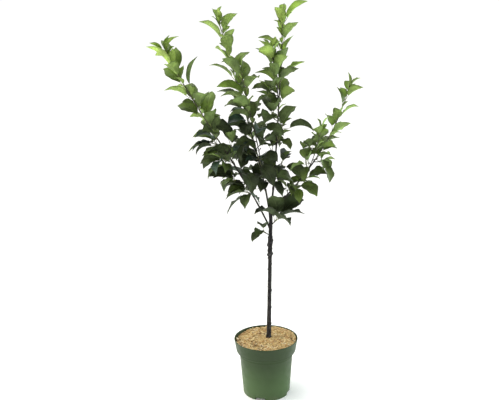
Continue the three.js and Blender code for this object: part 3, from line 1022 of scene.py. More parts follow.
@dataclass
class Blades:
    """The blades of many leaves at the same stations along them."""

    middle: Array
    forward: Array
    upward: Array
    left: Array
    right: Array
    half: Array

    @classmethod
    def of(cls, leaves: list[Leaf], stations: Array, steps: int = 24) -> "Blades":
        """Runs each blade out from its stalk's end.

        The midrib's direction turns by the swing and sinks by droop * t^power, and its places are
        the sum of that direction at the middles of equal steps. Both halves fold up from the
        midrib and roll about it. Half the width goes by sin(pi t^skew)^power.

        Args:
            leaves: The leaves.
            stations: Shares of the blade's length.
            steps: How many steps the midrib is summed over.

        Returns:
            The midribs, directions and half widths, leaves by stations.
        """
        def column(name: str) -> Array:
            """One quality of the leaves, in a column."""
            return gathered(leaves, name)[:, None]

        length, heading = column("length"), column("heading")

        def state(t: Array) -> tuple[Array, Array]:
            """The midrib's level direction and its direction at stations."""
            swing = (column("swing") * t)[..., None]
            rise = (column("rise") - column("droop") * t**HABIT.droop_power)[..., None]
            across = np.cross([0, 0, 1], heading)
            level = heading * np.cos(swing) + across * np.sin(swing)
            return level, level * np.cos(rise) + np.array([0, 0, 1]) * np.sin(rise)

        _, step = state((np.arange(steps) + 0.5) / steps)
        path = np.cumsum(step * (length / steps)[..., None], 1)
        path = np.concatenate([np.zeros((len(leaves), 1, 3)), path], 1)
        path += column("end")
        near = np.ceil((stations - 1e-9) * steps).astype(int)
        level, forward = state(stations)
        lag = (stations - near / steps) * length
        side = np.cross([0, 0, 1], level)
        normal = np.cross(forward, side)
        rolled = HABIT.roll_start + (1 - HABIT.roll_start) * stations
        across = turned(side, normal, column("roll") * rolled)
        upward = np.cross(forward, across)
        fold = column("fold") * (1 - HABIT.fold_fade * stations)
        inside = np.sin(math.pi * np.clip(stations, 0, 1) ** HABIT.outline_skew)
        width = np.clip(inside, 0, 1) ** HABIT.outline_power
        width = np.where((stations > 0) & (stations < 1), width, 0)
        return cls(
            middle=path[:, near] + forward * lag[..., None],
            forward=forward,
            upward=upward,
            left=turned(across, upward, fold),
            right=turned(-across, upward, fold),
            half=0.5 * length * column("breadth") * width,
        )


STALK_SHARES = (0.4, 0.8)
BLADE_SHARES = np.array([0, 0.2, 0.4, 0.6, 0.8, 1])
EDGE_SHARES = (0.5, 1.0)


def leaf_points(leaf: Leaf) -> tuple[Array, Array]:
    """The points that stand for a leaf when leaves are kept apart.

    Args:
        leaf: The leaf.

    Returns:
        All of them, and those past the stalk and the blade's foot alone.
    """
    stalk = [leaf.root + (leaf.end - leaf.root) * share for share in STALK_SHARES]
    blade = Blades.of([leaf], BLADE_SHARES)
    middle, half = blade.middle[0], blade.half[0]
    broad = half > 0
    edges = [
        middle[broad] + side[0][broad] * (half[broad] * reach)[:, None]
        for side in (blade.left, blade.right)
        for reach in EDGE_SHARES
    ]
    past = np.concatenate([middle[1:], *edges])
    return np.concatenate([np.array(stalk), middle[:1], past]), past


@dataclass(frozen=True)
class Spur:
    """A short twig that carries a rosette of leaves."""

    share: float
    foot: Array
    tip: Array
    axis: Array
    bearing: float
    leaves: int


@dataclass
class Shoot:
    """One long shoot: its curve, and how its spurs and leaves are set along it.

    Its wood is bare up to the share `bare`. Spurs stand from `first` to `split`, single leaves
    from there on. `leaf` is a full-grown leaf's length, `foot` and `tip` the wood's radii. The
    half-grown leaves are dealt `rounds` to a spur, with their lengths times `small`.
    """

    curve: tuple
    bare: float
    first: float
    split: float
    spurs: int
    singles: int
    leaf: float
    foot: float
    tip: float
    seed: int
    parent: str | None = None
    at: float = 0.0
    old: float = 0.0
    rounds: int = 1
    small: float = 1.0
    taper: float = 0.8
    path: Curve = field(init=False)
    twigs: list[Spur] = field(init=False)

    def set_out(self, foot: Array | None) -> None:
        """Lays out the curve, from a parent's point where it has one, and grows the spurs.

        Args:
            foot: The point on the parent shoot, or none.
        """
        points = [foot if point is None else np.array(point, float) for point in self.curve]
        self.path = Curve(np.array(points))
        self.twigs = [self.spur(number) for number in range(self.spurs)]

    def radius(self, share: Array) -> Array:
        """The wood's radius at shares of the shoot."""
        return self.foot + (self.tip - self.foot) * np.asarray(share) ** self.taper

    def spur(self, number: int) -> Spur:
        """One spur, in golden-angle order up the older wood."""
        seed, item = self.seed, Item.SPUR + number
        reach = HABIT.spur_place + HABIT.spur_place_more * draw(seed, item, 1)
        share = self.first + (self.split - self.first) * ((number + reach) / self.spurs)
        bearing = draw(seed, Item.SHOOT, 0) * TURN + number * GOLDEN_ANGLE
        foot, stem = self.path.points(share), self.path.tangents(share)
        out = turned(*stem_frame(stem), bearing)
        axis = unit(stem * HABIT.spur_along + out * HABIT.spur_out)
        tip = foot + axis * (HABIT.spur_length + HABIT.spur_length_more * draw(seed, item, 2))
        leaves = HABIT.rosette + int(draw(seed, item, 3) > HABIT.rosette_extra_over)
        return Spur(float(share), foot, tip, axis, float(bearing), leaves)

    def rosette_leaf(self, number: int, place: int, offset: float) -> Leaf:
        """A leaf of a spur's rosette, for a chosen turn of its bearing."""
        spur, seed = self.twigs[number], self.seed
        item = Item.ROSETTE + Item.ROSETTE_STEP * number + place
        turn = HABIT.rosette_turn_spread * sway(seed, item, 1)
        bearing = HABIT.rosette_turns * spur.bearing + TURN * place / spur.leaves + turn
        last = HABIT.rosette_last if place == spur.leaves - 1 else 1
        size = HABIT.rosette_size + HABIT.rosette_size_spread * sway(seed, item, 3)
        angle = (HABIT.spur_angle + HABIT.spur_angle_spread * sway(seed, item, 2)) * DEG
        root, length = spur.tip - HABIT.rosette_sunk * spur.axis, self.leaf * size * last
        age = 1 - HABIT.rosette_youth * spur.share
        return Leaf.grown(root, spur.axis, bearing + offset, angle, length, age, seed, item)

    def single_share(self, number: int) -> float:
        """Where on the shoot a single leaf stands: they crowd towards its tip."""
        left = (self.singles - HABIT.single_place - number) / self.singles
        reach = min(HABIT.single_highest, 1 - left**HABIT.single_crowding)
        return self.split + (1 - self.split) * reach

    def single_leaf(self, number: int, offset: float) -> Leaf:
        """A leaf that stands on the shoot itself, for a chosen turn of its bearing."""
        seed, share = self.seed, self.single_share(number)
        young = (number + 0.5) / self.singles
        age = min(1, HABIT.single_age * (1 - young) + self.old)
        bearing = draw(seed, Item.SHOOT, 0) * TURN + HABIT.single_turn + number * GOLDEN_ANGLE
        bearing = bearing + HABIT.single_turn_spread * DEG * sway(seed, number, 1)
        full = min(1, HABIT.youngest + HABIT.growth * (self.singles - number) + self.old)
        length = self.leaf * full * (1 + HABIT.single_size_spread * sway(seed, number, 3))
        angle = (HABIT.single_angle - HABIT.young_angle * young
                 + HABIT.single_angle_spread * sway(seed, number, 2)) * DEG
        root, stem = self.path.points(share), self.path.tangents(share)
        return Leaf.grown(root, stem, bearing + offset, angle, length, age, seed, number)

    def small_leaf(self, number: int, offset: float) -> Leaf:
        """A half-grown leaf for its number: on the spurs' tips, in the axils, round the tip."""
        seed, item = self.seed, Item.SMALL + number
        axil = number - self.rounds * self.spurs
        if axil < 0:
            spur = self.twigs[number % self.spurs]
            root, stem, seat = spur.tip, spur.axis, SPUR_SEAT
        else:
            tip = axil >= self.singles
            share, seat = (1.0, TIP_SEAT) if tip else (self.single_share(axil), AXIL_SEAT)
            root, stem = self.path.points(share), self.path.tangents(share)
        length = (seat.least + seat.more * draw(seed, item, 3)) * self.small
        bearing = draw(seed, Item.SMALL_SHOOT, 0) * TURN + number * GOLDEN_ANGLE
        angle = (HABIT.small_angle + HABIT.small_angle_more * draw(seed, item, 2)) * DEG
        return Leaf.grown(root, stem, bearing + offset, angle, length, seat.age, seed, item)


FORK = 758
TRUNK_CURVE = ((12, 20, 226.3), (18, 20, 413), (21, 20, 613), (27, 20, FORK))
TRUNK_RADII = (
    (226.3, 11), (232, 9.4), (253, 8.4), (389, 7.4), (517, 7), (579, 7), (590, 8.2), (601, 7),
    (713, 6.6), (FORK, 5.9), (788, 4.9), (853, 4.4),
)
SHOOTS: dict[str, Shoot] = {
    "leader": Shoot(
        ((27, 20, FORK), (50, 20, 963), (63, 20, 1213), (84, 18, 1556)),
        0.1, 0.13, 0.55, 7, 16, 93, 4.7, 1.3, seed=1018,
    ),
    "twin": Shoot(
        (None, (59, -15, 1233), (49, -40, 1313), (34, -60, 1386)),
        0, 0.25, 0.3, 1, 9, 83, 2, 1.1, seed=3758, parent="leader", at=0.55,
    ),
    "mid": Shoot(
        ((24, 20, 733), (0, 45, 943), (-75, 80, 1163), (-165, 95, 1503)),
        0.11, 0.14, 0.55, 7, 14, 106, 4.1, 1.3, seed=6739,
    ),
    "side": Shoot(
        (None, (-13, 0, 1023), (-55, -60, 1163), (-82, -80, 1324)),
        0, 0.15, 0.5, 4, 10, 101, 2.4, 1.1, seed=4560, parent="mid", at=0.26,
    ),
    "left": Shoot(
        ((23, 20, 689), (-55, 0, 883), (-210, -45, 1098), (-356, -65, 1386)),
        0.19, 0.22, 0.56, 8, 16, 98, 4, 1.3, seed=1211, rounds=5, small=1.25,
    ),
    "right": Shoot(
        ((27, 20, 755), (135, 15, 873), (275, 45, 1013), (341, 70, 1252)),
        0.13, 0.16, 0.6, 6, 9, 76, 3.9, 1.2, seed=1126, rounds=2,
    ),
    "fork": Shoot(
        (None, (183, 5, 943), (210, -35, 1023), (215, -60, 1105)),
        0, 0.25, 0.55, 3, 4, 72, 2, 1, seed=3625, parent="right", at=0.4,
    ),
    "lowLeft": Shoot(
        ((22, 20, 663), (11, 16, 670), (3, 12, 676), (-3, 9, 681)),
        0, 0.6, 0.6, 0, 3, 70, 2.2, 1.7, seed=1208, old=0.5,
    ),
    "lowRight": Shoot(
        ((24, 20, 703), (35, 14, 713), (43, 10, 723), (48, 7, 731)),
        0, 0.6, 0.6, 0, 6, 108, 2.2, 1.7, seed=3220, old=0.5,
    ),
}
MASSES: dict[str, tuple[str, ...]] = {
    "foliage_leader": ("leader", "twin"),
    "foliage_mid": ("mid", "side"),
    "foliage_left": ("left",),
    "foliage_right": ("right", "fork"),
    "foliage_low_left": ("lowLeft",),
    "foliage_low_right": ("lowRight",),
}
# Painted light and shade for whole masses: how much lighter their leaves' tones are dealt, and the
# least shade they take.
SUNNY: dict[str, Pair] = {"foliage_right": (0.24, 0.22), "foliage_mid": (-0.07, 0)}
BOUGHS: dict[str, str] = {"bough_left": "left", "bough_mid": "mid", "bough_right": "right"}


def trunk_path(heights: Array) -> Array:
    """The trunk's centre line at heights: its own curve up to the fork, the leader's above."""
    share = np.linspace(0, 1, 4001)
    below = Curve(np.array(TRUNK_CURVE, float)).points(share)
    line = np.concatenate([below[:-1], SHOOTS["leader"].path.points(share)])
    return np.stack([np.interp(heights, line[:, 2], line[:, axis]) for axis in range(3)], -1)


def trunk_radius(heights: Array) -> Array:
    """The trunk's radius at heights, between its named sizes."""
    sizes = np.array(TRUNK_RADII)
    return np.interp(heights, sizes[:, 0], sizes[:, 1])


@dataclass
class Grove:
    """Grows the crown: leaves that keep clear of limbs, of each other and of its reach."""

    tries: int = 6
    try_turn: float = 61 * DEG
    limb_clearance: float = 7
    leaf_clearance: float = 15
    blade_clearance: float = 10
    small_clearance: float = 5
    tuft: int = 4
    top_rods: int = 3
    bough_rods: int = 4
    shoot_rods: int = 10
    spur_radius: float = 2.2
    low: Triple = (-470, -260, 573)
    high: Triple = (405, 260, 1573)
    grown: list[tuple[str, Leaf]] = field(default_factory=list)
    marks: list[tuple[str, Array, Array]] = field(default_factory=list)

    def __post_init__(self) -> None:
        """Sets the shoots out, and notes the wood that leaves keep clear of."""
        for shoot in SHOOTS.values():
            parent = SHOOTS[shoot.parent].path.points(shoot.at) if shoot.parent else None
            shoot.set_out(parent)
        rods: list[tuple[Array, Array, float, str]] = []

        def add(points: Array, radii: Array, owner: str) -> None:
            """Notes the rods between points on a piece of wood."""
            rods.extend(zip(points[:-1], points[1:], radii[:-1], [owner] * (len(points) - 1)))

        heights = np.array([height for height, _ in TRUNK_RADII if height < FORK])
        leader = SHOOTS["leader"]
        top = leader.path.points(leader.bare * np.arange(self.top_rods + 1) / self.top_rods)
        trunk = np.concatenate([trunk_path(heights), top])
        add(trunk, trunk_radius(trunk[:, 2]), "trunk")
        for name in BOUGHS.values():
            share = np.linspace(0, SHOOTS[name].bare, self.bough_rods + 1)
            add(SHOOTS[name].path.points(share), SHOOTS[name].radius(share), "bough")
        for mass, names in MASSES.items():
            for shoot in (SHOOTS[name] for name in names):
                share = np.linspace(shoot.bare, 1, self.shoot_rods + 1)
                add(shoot.path.points(share), shoot.radius(share), mass)
                for spur in shoot.twigs:
                    add(np.array([spur.foot, spur.tip]), np.full(2, self.spur_radius), mass)
        feet, ends, self.radii, self.owners = (np.array(part) for part in zip(*rods))
        self.feet, self.runs = feet, ends - feet

    def off_wood(self, points: Array, mass: str) -> bool:
        """Whether points keep clear of all wood but their own mass's."""
        away = points[:, None] - self.feet
        share = np.clip((away * self.runs).sum(-1) / (self.runs**2).sum(-1), 0, 1)
        reach = np.linalg.norm(away - self.runs * share[..., None], axis=-1)
        clear = (reach > self.radii + self.limb_clearance) | (self.owners == mass)
        return bool(clear.all())

    def clear(self, leaf: Leaf, mass: str, same: float) -> bool:
        """Whether a leaf keeps its distances: `same` is that from its own mass's blades."""
        every, past = leaf_points(leaf)
        if (every <= self.low).any() or (every >= self.high).any():
            return False
        if not self.off_wood(every, mass):
            return False
        for other, all_points, blade_points in self.marks:
            if other == mass:
                gap, mine, theirs = same, past, blade_points
            else:
                gap, mine, theirs = self.leaf_clearance, every, all_points
            if ((mine[:, None] - theirs) ** 2).sum(-1).min() <= gap * gap:
                return False
        return True

    def keep(self, mass: str, leaf: Leaf, same: float) -> bool:
        """Keeps a leaf that is clear, and says whether it was."""
        if not self.clear(leaf, mass, same):
            return False
        self.grown.append((mass, leaf))
        self.marks.append((mass, *leaf_points(leaf)))
        return True

    def grow(self) -> None:
        """Grows every mass's leaves in turn, then half-grown ones in the room between them."""
        for mass, names in MASSES.items():
            for shoot in (SHOOTS[name] for name in names):
                places = [
                    (shoot.rosette_leaf, (number, place))
                    for number, spur in enumerate(shoot.twigs)
                    for place in range(spur.leaves)
                ] + [(shoot.single_leaf, (number,)) for number in range(shoot.singles)]
                for make, numbers in places:
                    self.try_leaf(mass, make, numbers, self.blade_clearance)
        for mass, names in MASSES.items():
            for shoot in (SHOOTS[name] for name in names if SHOOTS[name].old == 0):
                for number in range(shoot.rounds * shoot.spurs + shoot.singles + self.tuft):
                    self.try_leaf(mass, shoot.small_leaf, (number,), self.small_clearance)

    def try_leaf(self, mass: str, make: object, numbers: tuple[int, ...], same: float) -> None:
        """Tries a leaf at a few bearings, and keeps the first that is clear."""
        for attempt in range(self.tries):
            if self.keep(mass, make(*numbers, self.try_turn * attempt), same):
                return

    def leaves(self, mass: str) -> list[Leaf]:
        """The leaves of one mass."""
        return [leaf for owner, leaf in self.grown if owner == mass]


# ---- foliage ----


@dataclass(frozen=True)
class Stalks:
    """The leaves' stalks: each leaves its twig on the leaf's side and bends into its blade."""

    rings: int = 8
    sides: int = 6
    bend: float = 0.8
    sunk: float = 1.5
    radius: float = 0.95
    flare: float = 0.75
    flare_length: float = 0.08
    slimmest: float = 0.55
    full_leaf: float = 100

    def surface(self, leaves: list[Leaf]) -> Surface:
        """Tubes along cubic curves with two ends and two directions, flared at the root."""
        blade = Blades.of(leaves, np.array([0.0]))
        root, start, end = (gathered(leaves, name)[:, None] for name in ("root", "start", "end"))
        length = np.linalg.norm(end - root, axis=-1, keepdims=True)
        share = np.linspace(0, 1, self.rings)
        s = share[:, None]
        end = end + blade.forward * self.sunk
        path = (
            root * (2 * s**3 - 3 * s**2 + 1)
            + start * length * self.bend * (s**3 - 2 * s**2 + s)
            + end * (3 * s**2 - 2 * s**3)
            + blade.forward * length * self.bend * (s**3 - s**2)
        )
        size = gathered(leaves, "length")[:, None] / self.full_leaf
        slim = self.slimmest + (1 - self.slimmest) * size
        radii = (self.radius + self.flare * np.exp(-share / self.flare_length)) * slim
        stalks = tubes(path, radii, self.sides)
        stalks.finishes[:] = Wood.STALK.value
        return stalks


@dataclass(frozen=True)
class Buds:
    """A small pointed bud in the axil of each leaf."""

    rings: int = 7
    sides: int = 6
    outward: float = 0.5
    off_twig: float = 2.2
    length: float = 3.4
    length_more: float = 1.8
    tip_radius: float = 0.2
    radius: float = 1.5
    full: float = 4.4
    skew: float = 0.75
    blunt: float = 0.8
    seed: int = 7

    def surface(self, leaves: list[Leaf]) -> Surface:
        """Tubes whose radius swells and closes, as sin(pi s^skew)^blunt."""
        root, start, stem = (gathered(leaves, name) for name in ("root", "start", "stem"))
        way = unit(stem + self.outward * start)
        length = self.length + self.length_more * draw(self.seed, gathered(leaves, "ident"), 0)
        share = np.linspace(0, 1, self.rings)
        foot = root + start * self.off_twig
        path = foot[:, None] + way[:, None] * (share * length[:, None])[..., None]
        swell = np.sin(math.pi * share**self.skew) ** self.blunt
        radii = (self.tip_radius + self.radius * swell)[None] * length[:, None] / self.full
        buds = tubes(path, radii, self.sides)
        buds.finishes[:] = Wood.YOUNG.value
        return buds


@dataclass(frozen=True)
class Stems:
    """The shoots' stems: swollen where a leaf or spur stands, older wood below."""

    rings: int = 150
    sides: int = 12
    short_rings: int = 24
    short_sides: int = 10
    node: Pair = (0.3, 3.2)
    below: Triple = (0.12, 7, 9)
    grain: Grain = Grain(0.07, (5, 5, 9), 0)
    grain_radius: float = 6
    ages: Pair = (0.5, 0.86)

    def surface(self, shoot: Shoot) -> Surface:
        """A stem: a swelling at each node, a long low one below it, and older wood further down."""
        short = shoot.old > 0
        rows, sides = (self.short_rings, self.short_sides) if short else (self.rings, self.sides)
        share = np.linspace(shoot.bare, 1, rows)
        path = shoot.path.points(share)
        nodes = [spur.share for spur in shoot.twigs]
        nodes += [shoot.single_share(number) for number in range(shoot.singles)]
        run = np.concatenate([[0], np.cumsum(np.linalg.norm(np.diff(path, axis=0), axis=1))])
        off = run[:, None] - np.interp(nodes, share, run)
        (high, width), (low_high, low_off, low_width) = self.node, self.below
        swell = high * bell(off, width).max(1) + low_high * bell(off + low_off, low_width).max(1)
        skin = placed_round(self.grain_radius, bearings(sides), run[:, None])
        radii = (shoot.radius(share) * (1 + swell))[:, None] * (1 + self.grain.at(skin, shoot.seed))
        stem = tubes(path[None], radii[None], sides)
        wood = np.digitize(share[:-1], self.ages)
        ends = np.repeat([wood[0], Wood.GREEN.value], sides)
        stem.finishes[:] = np.concatenate([np.repeat(wood, sides), ends])
        return stem


@dataclass(frozen=True)
class SpurWood:
    """The spurs: short knobbly twigs, ringed by the scars of earlier years."""

    rings: int = 25
    sides: int = 9
    sag: float = 1.3
    radius: float = 1.6
    foot_more: float = 0.9
    foot_length: float = 0.12
    head_more: float = 0.9
    head: Pair = (0.55, 0.95)
    scar: float = 0.16
    scar_step: float = 1.1
    scars_from: Pair = (0.25, 0.6)

    def surface(self, spurs: list[Spur]) -> Surface:
        """Tubes that bow up or down, thicker at the foot and at the head."""
        foot, tip = gathered(spurs, "foot")[:, None], gathered(spurs, "tip")[:, None]
        share = np.linspace(0, 1, self.rings)
        length = np.linalg.norm(tip - foot, axis=-1)
        side = np.sign(np.sin(gathered(spurs, "bearing")))[:, None]
        bow = np.sin(math.pi * share) * self.sag * side
        path = foot + (tip - foot) * share[:, None] + np.array([0, 0, 1]) * bow[..., None]
        rings = self.scar * np.sin(share * length / self.scar_step) * ease(*self.scars_from, share)
        foot_swell = self.foot_more * np.exp(-share / self.foot_length)
        radii = self.radius + foot_swell + self.head_more * ease(*self.head, share) + rings
        return tubes(path, radii, self.sides)


@dataclass
class Foliage:
    """One mass: its leaves in one mesh, its stems, spurs, stalks and buds in another.

    `rib` is in millimetres, and camber, ripple and uneven are shares of half a blade's width.
    The sun makes a whole mass lighter as painted light, and `least` is the least shade that its leaves
    have.
    """

    name: str
    shoots: tuple[Shoot, ...]
    leaves: list[Leaf]
    sun: float = 0.0
    least: float = 0.0
    stations: tuple[float, ...] = (0, 0.05, 0.12, 0.21, 0.32, 0.44, 0.56, 0.67, 0.77, 0.86, 0.94, 1)
    across: tuple[float, ...] = (-1, -0.52, 0, 0.52, 1)
    rib: float = 1.1
    rib_fade: float = 0.6
    camber: float = 0.05
    ripple: float = 0.16
    ripple_least: float = 0.4
    waves: float = 2
    waves_more: float = 1.5
    wave_offset: float = 0.37
    uneven: float = 0.055
    young_wear: float = 0.2
    tip_pinch: float = 0.55
    pinch_from: float = 0.62
    edge_channels: tuple[int, int] = (10, 30)
    blade_seed: int = 5
    shade_age: float = 0.5
    shade_lowness: float = 0.52
    shade_chance: float = 0.17
    shade_heights: Pair = (653, 1493)
    shade_steps: tuple[float, ...] = (0.2, 0.34, 0.48, 0.62, 0.76)
    sheen_over: float = 0.88
    tone_seed: int = 3

    def tones(self) -> Array:
        """Deals each leaf its tone: by its age, by how low it hangs as painted shade, and a draw of
        its own.

        Returns:
            A Tone's value for each leaf.
        """
        age, ident = gathered(self.leaves, "age"), gathered(self.leaves, "ident")
        foot, top = self.shade_heights
        low = 1 - np.clip((gathered(self.leaves, "end")[:, 2] - foot) / (top - foot), 0, 1)
        chance = self.shade_chance * sway(self.tone_seed, ident, 1)
        # how low a leaf hangs darkens its tone as painted shade, and the mass's sun lightens it as
        # painted light
        shade = self.shade_age * age + self.shade_lowness * low + chance - self.sun
        tone = np.digitize(np.maximum(shade, self.least), self.shade_steps)
        # a few grown leaves take the bluish painted sheen
        sheen = (draw(self.tone_seed, ident, 2) > self.sheen_over) & (tone >= Tone.GROWN.value)
        return np.where(sheen, Tone.SHEEN.value, tone)

    def blades(self) -> Surface:
        """The leaves' blades: closed lenses of two sheets that meet at the margin.

        A point at station t and offset u stands at middle + side * half * |u|, lifted by a camber
        of sin(pi |u|) and by waves that grow towards the margin and with the leaf's age. The
        lower sheet runs from margin to margin over a midrib that lies a rib's height below.

        Returns:
            The blades, the upper sheets' finishes even and the lower ones' odd.
        """
        t, u, seed = np.array(self.stations), np.array(self.across), self.blade_seed
        blade = Blades.of(self.leaves, t)
        ident, age = gathered(self.leaves, "ident"), gathered(self.leaves, "age")
        count, rows, columns = len(self.leaves), len(t), len(u)
        row = np.arange(rows)
        half = blade.half * (1 - self.tip_pinch * ease(self.pinch_from, 1, t))
        jag = np.stack([sway(seed, ident[:, None], first + row) for first in self.edge_channels], -1)
        jag = np.where(np.abs(u) == 1, jag[..., (u > 0).astype(int)], 0)
        worn = (self.young_wear + (1 - self.young_wear) * age)[:, None, None]
        reach = half[..., None] * np.abs(u) * (1 + self.uneven * worn * jag)
        side = np.where((u > 0)[:, None], blade.left[:, :, None], blade.right[:, :, None])
        waves = (self.waves + self.waves_more * draw(seed, ident, 1))[:, None, None]
        phase = TURN * (waves * t[:, None] + np.where(u > 0, 0.0, self.wave_offset))
        wave = np.sin(phase + TURN * draw(seed, ident, 2)[:, None, None]) * u**2
        swell = self.ripple * worn * (self.ripple_least + draw(seed, ident, 3))[:, None, None]
        lift = half[..., None] * (self.camber * np.sin(math.pi * np.abs(u)) + swell * wave)
        upper = blade.middle[:, :, None] + side * reach[..., None]
        upper += blade.upward[:, :, None] * lift[..., None]
        rib = np.minimum(self.rib * (1 - self.rib_fade * t), 0.5 * half)
        under = blade.middle - blade.upward * rib[..., None]
        points = np.concatenate([upper[:, 1:-1].reshape(count, -1, 3), under[:, 1:-1],
                                 blade.middle[:, [0, -1]]], 1)
        single, step = self.lens(rows - 2, columns), points.shape[1]
        flat = np.stack(np.meshgrid(t[1:-1], 0.5 + u / 2, indexing="ij")[::-1], -1).reshape(-1, 2)
        spine = np.stack([np.full(rows, 0.5), t], -1)
        pattern = np.concatenate([flat, spine[1:-1], spine[[0, -1]]])
        tone, quads = self.tones()[:, None] * 2, len(single.quads)
        sides = [single.finishes[:quads], single.finishes[quads:]]
        return Surface.of(
            points.reshape(-1, 3),
            repeated(single.quads, count, step),
            repeated(single.triangles, count, step),
            np.tile(pattern, (count, 1)),
            np.concatenate([(tone + side).ravel() for side in sides]),
        )

    def lens(self, rows: int, columns: int) -> Surface:
        """The faces of one blade, whose points are numbered sheet by sheet.

        Args:
            rows: Rows between its foot and its tip.
            columns: Points across the upper sheet. The lower one adds a midrib point a row.

        Returns:
            Faces alone: 0 for the upper sheet's finish and 1 for the lower one's.
        """
        above = np.arange(rows * columns).reshape(rows, columns)
        rib = rows * columns + np.arange(rows)
        below = np.stack([above[:, 0], rib, above[:, -1]], -1)
        foot, tip = rows * columns + rows, rows * columns + rows + 1
        top = above.ravel()[grid_quads(rows, columns, False)][:, ::-1]
        base = below.ravel()[grid_quads(rows, 3, False)]
        triangles = []
        for sheet, way in ((above, -1), (below, 1)):
            first, last, count = sheet[0], sheet[-1], sheet.shape[1] - 1
            fans = [np.stack([np.full(count, foot), first[1:], first[:-1]], -1),
                    np.stack([np.full(count, tip), last[:-1], last[1:]], -1)]
            triangles.append(np.concatenate(fans)[:, ::way])
        sizes = [len(faces) for faces in (top, base, *triangles)]
        return Surface(np.empty((0, 3)), np.concatenate([top, base]), np.concatenate(triangles),
                       np.empty((0, 2)), np.repeat([0, 1, 0, 1], sizes))

    def build(self, leaf_finishes: list[Material], wood_finishes: list[Material]) -> None:
        """Makes both pieces and has them stand for the mass's node.

        Args:
            leaf_finishes: The upper and lower side of each tone, in turn.
            wood_finishes: One for each kind of wood.
        """
        blades = self.blades().piece("leaves_" + self.name, leaf_finishes, 80)
        stems = Surface.joined([Stems().surface(shoot) for shoot in self.shoots])
        parts = [stems, Stalks().surface(self.leaves), Buds().surface(self.leaves)]
        spurs = [spur for shoot in self.shoots for spur in shoot.twigs]
        if spurs:
            parts.append(SpurWood().surface(spurs))
        twigs = Surface.joined(parts).piece("twigs_" + self.name, wood_finishes, 60)
        settle(blades, "foliage", self.name)
        settle(twigs, "bark", self.name)


def settle(piece: bpy.types.Object, slot: str, *nodes: str) -> None:
    """Puts a piece on the tree's one body, for its nodes, and reports it."""
    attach(piece, "root")
    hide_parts(*nodes)
    LOG.info("%s: %d faces, for %s", piece.name, len(piece.data.polygons), ", ".join(nodes))


# ---- trunk and boughs ----


@dataclass
class Trunk:
    """The trunk: its lean and taper, a root flare, leaf scars, knots and a stub.

    A knot or burr has a height, a bearing in degrees and a reach, the rough stretch two heights
    and a thickness, and a ridge or hollow its width round the trunk and its height.
    """

    rows: int = 620
    sides: int = 72
    evened: int = 9
    knots: tuple[Triple, ...] = (
        (287, 5, 2.6), (358, -20, 2.4), (431, 10, 3), (520, 200, 2.8), (543, -35, 3),
        (566, 150, 3.2), (580, 195, 6),
    )
    burrs: tuple[Triple, ...] = (
        (586, -15, 3.6), (600, 120, 2.4), (620, 188, 5), (629, 200, 3), (637, 168, 3),
        (641, 0, 2.8), (653, 205, 2),
    )
    knot_width: float = 3.1
    knot_squash: float = 0.8
    knot_hole: Pair = (1.3, 0.3)
    proud: float = 0.9
    grain_radius: float = 8
    flutes: Grain = Grain(0.34, (5, 5, 46), 21)
    wrinkles: Grain = Grain(0.22, (2.6, 2.6, 7), 22)
    pores: Grain = Grain(0.1, (1.3, 1.3, 2.2), 23)
    lumps: Grain = Grain(1, (4.5, 4.5, 8), 25)
    crumbs: Grain = Grain(0.6, (2.2, 2.2, 3.6), 26)
    rough: Triple = (572, 668, 1.7)
    rough_fades: Pair = (16, 20)
    rough_range: Pair = (0.75, 1.1)
    flare: float = 1.3
    flare_length: float = 11
    flare_ribs: int = 5
    flare_turn: float = 0.8
    scar_seed: int = 24
    scar_step: float = 21
    scar_margin: float = 30
    scar_drift: float = 3
    scar_height: float = 0.9
    scar_least: float = 0.6
    ridge: Pair = (3.8, 1.5)
    hollow: Pair = (2.4, 1.8)
    hollow_above: float = 3
    hollow_depth: float = 0.45

    def build(self, bark: Material) -> None:
        """Carries a ring up the centre line, and pushes its points out by the bark's relief."""
        leader = SHOOTS["leader"]
        height = np.linspace(TRUNK_CURVE[0][2], leader.path.points(leader.bare)[2], self.rows)
        window = np.ones(self.evened) / self.evened
        radius = np.pad(trunk_radius(height), self.evened // 2, mode="edge")
        radius = np.convolve(radius, window, "valid")
        radii = radius[:, None] + self.relief(height, radius)
        wood = tubes(trunk_path(height)[None], radii[None], self.sides)
        settle(wood.piece("trunk_bark", [bark], 65), "bark", "trunk")

    def relief(self, height: Array, radius: Array) -> Array:
        """How far the bark stands out from the plain round.

        Each leaf scar is a low ridge with a hollow above it, each knot a steep bump with a sunk
        middle, and the root flare has ribs that fade upwards.

        Args:
            height: Of each row.
            radius: Of each row.

        Returns:
            Rows by columns.
        """
        level, bearing = np.meshgrid(height, bearings(self.sides), indexing="ij")
        skin = placed_round(self.grain_radius, bearing, level)
        out = self.flutes.at(skin) + self.wrinkles.at(skin) + (self.proud + self.pores.at(skin))
        (start, end, thick), (least, more) = self.rough, self.rough_range
        fade_in, fade_out = self.rough_fades
        within = ease(start, start + fade_in, level) * (1 - ease(end - fade_out, end, level))
        out += within * thick * (least + more * (self.lumps.at(skin) + self.crumbs.at(skin)))
        low = np.exp(-(level - height[0]) / self.flare_length)
        out += low * self.flare * np.cos(self.flare_ribs * bearing + self.flare_turn)
        first, last = height[0] + self.scar_margin, height[-1] - self.scar_margin
        for number, scar in enumerate(np.arange(first, last, self.scar_step)):
            drift = self.scar_drift * sway(self.scar_seed, number, 0)
            arc = off_bearing(bearing, number * GOLDEN_ANGLE) * radius[:, None]
            rise = level - scar - drift
            hollow = bell(arc, self.hollow[0], rise - self.hollow_above, self.hollow[1])
            ridge = bell(arc, self.ridge[0], rise, self.ridge[1]) - self.hollow_depth * hollow
            out += self.scar_height * (self.scar_least + draw(self.scar_seed, number, 1)) * ridge
        hole_width, hole_depth = self.knot_hole
        for knot, degrees, reach in self.knots + self.burrs:
            arc = off_bearing(bearing, degrees * DEG) * radius[:, None]
            far = np.sqrt(arc**2 + ((level - knot - 1) * self.knot_squash) ** 2)
            out += reach * (bell(far, self.knot_width) - hole_depth * bell(far, hole_width))
        return out


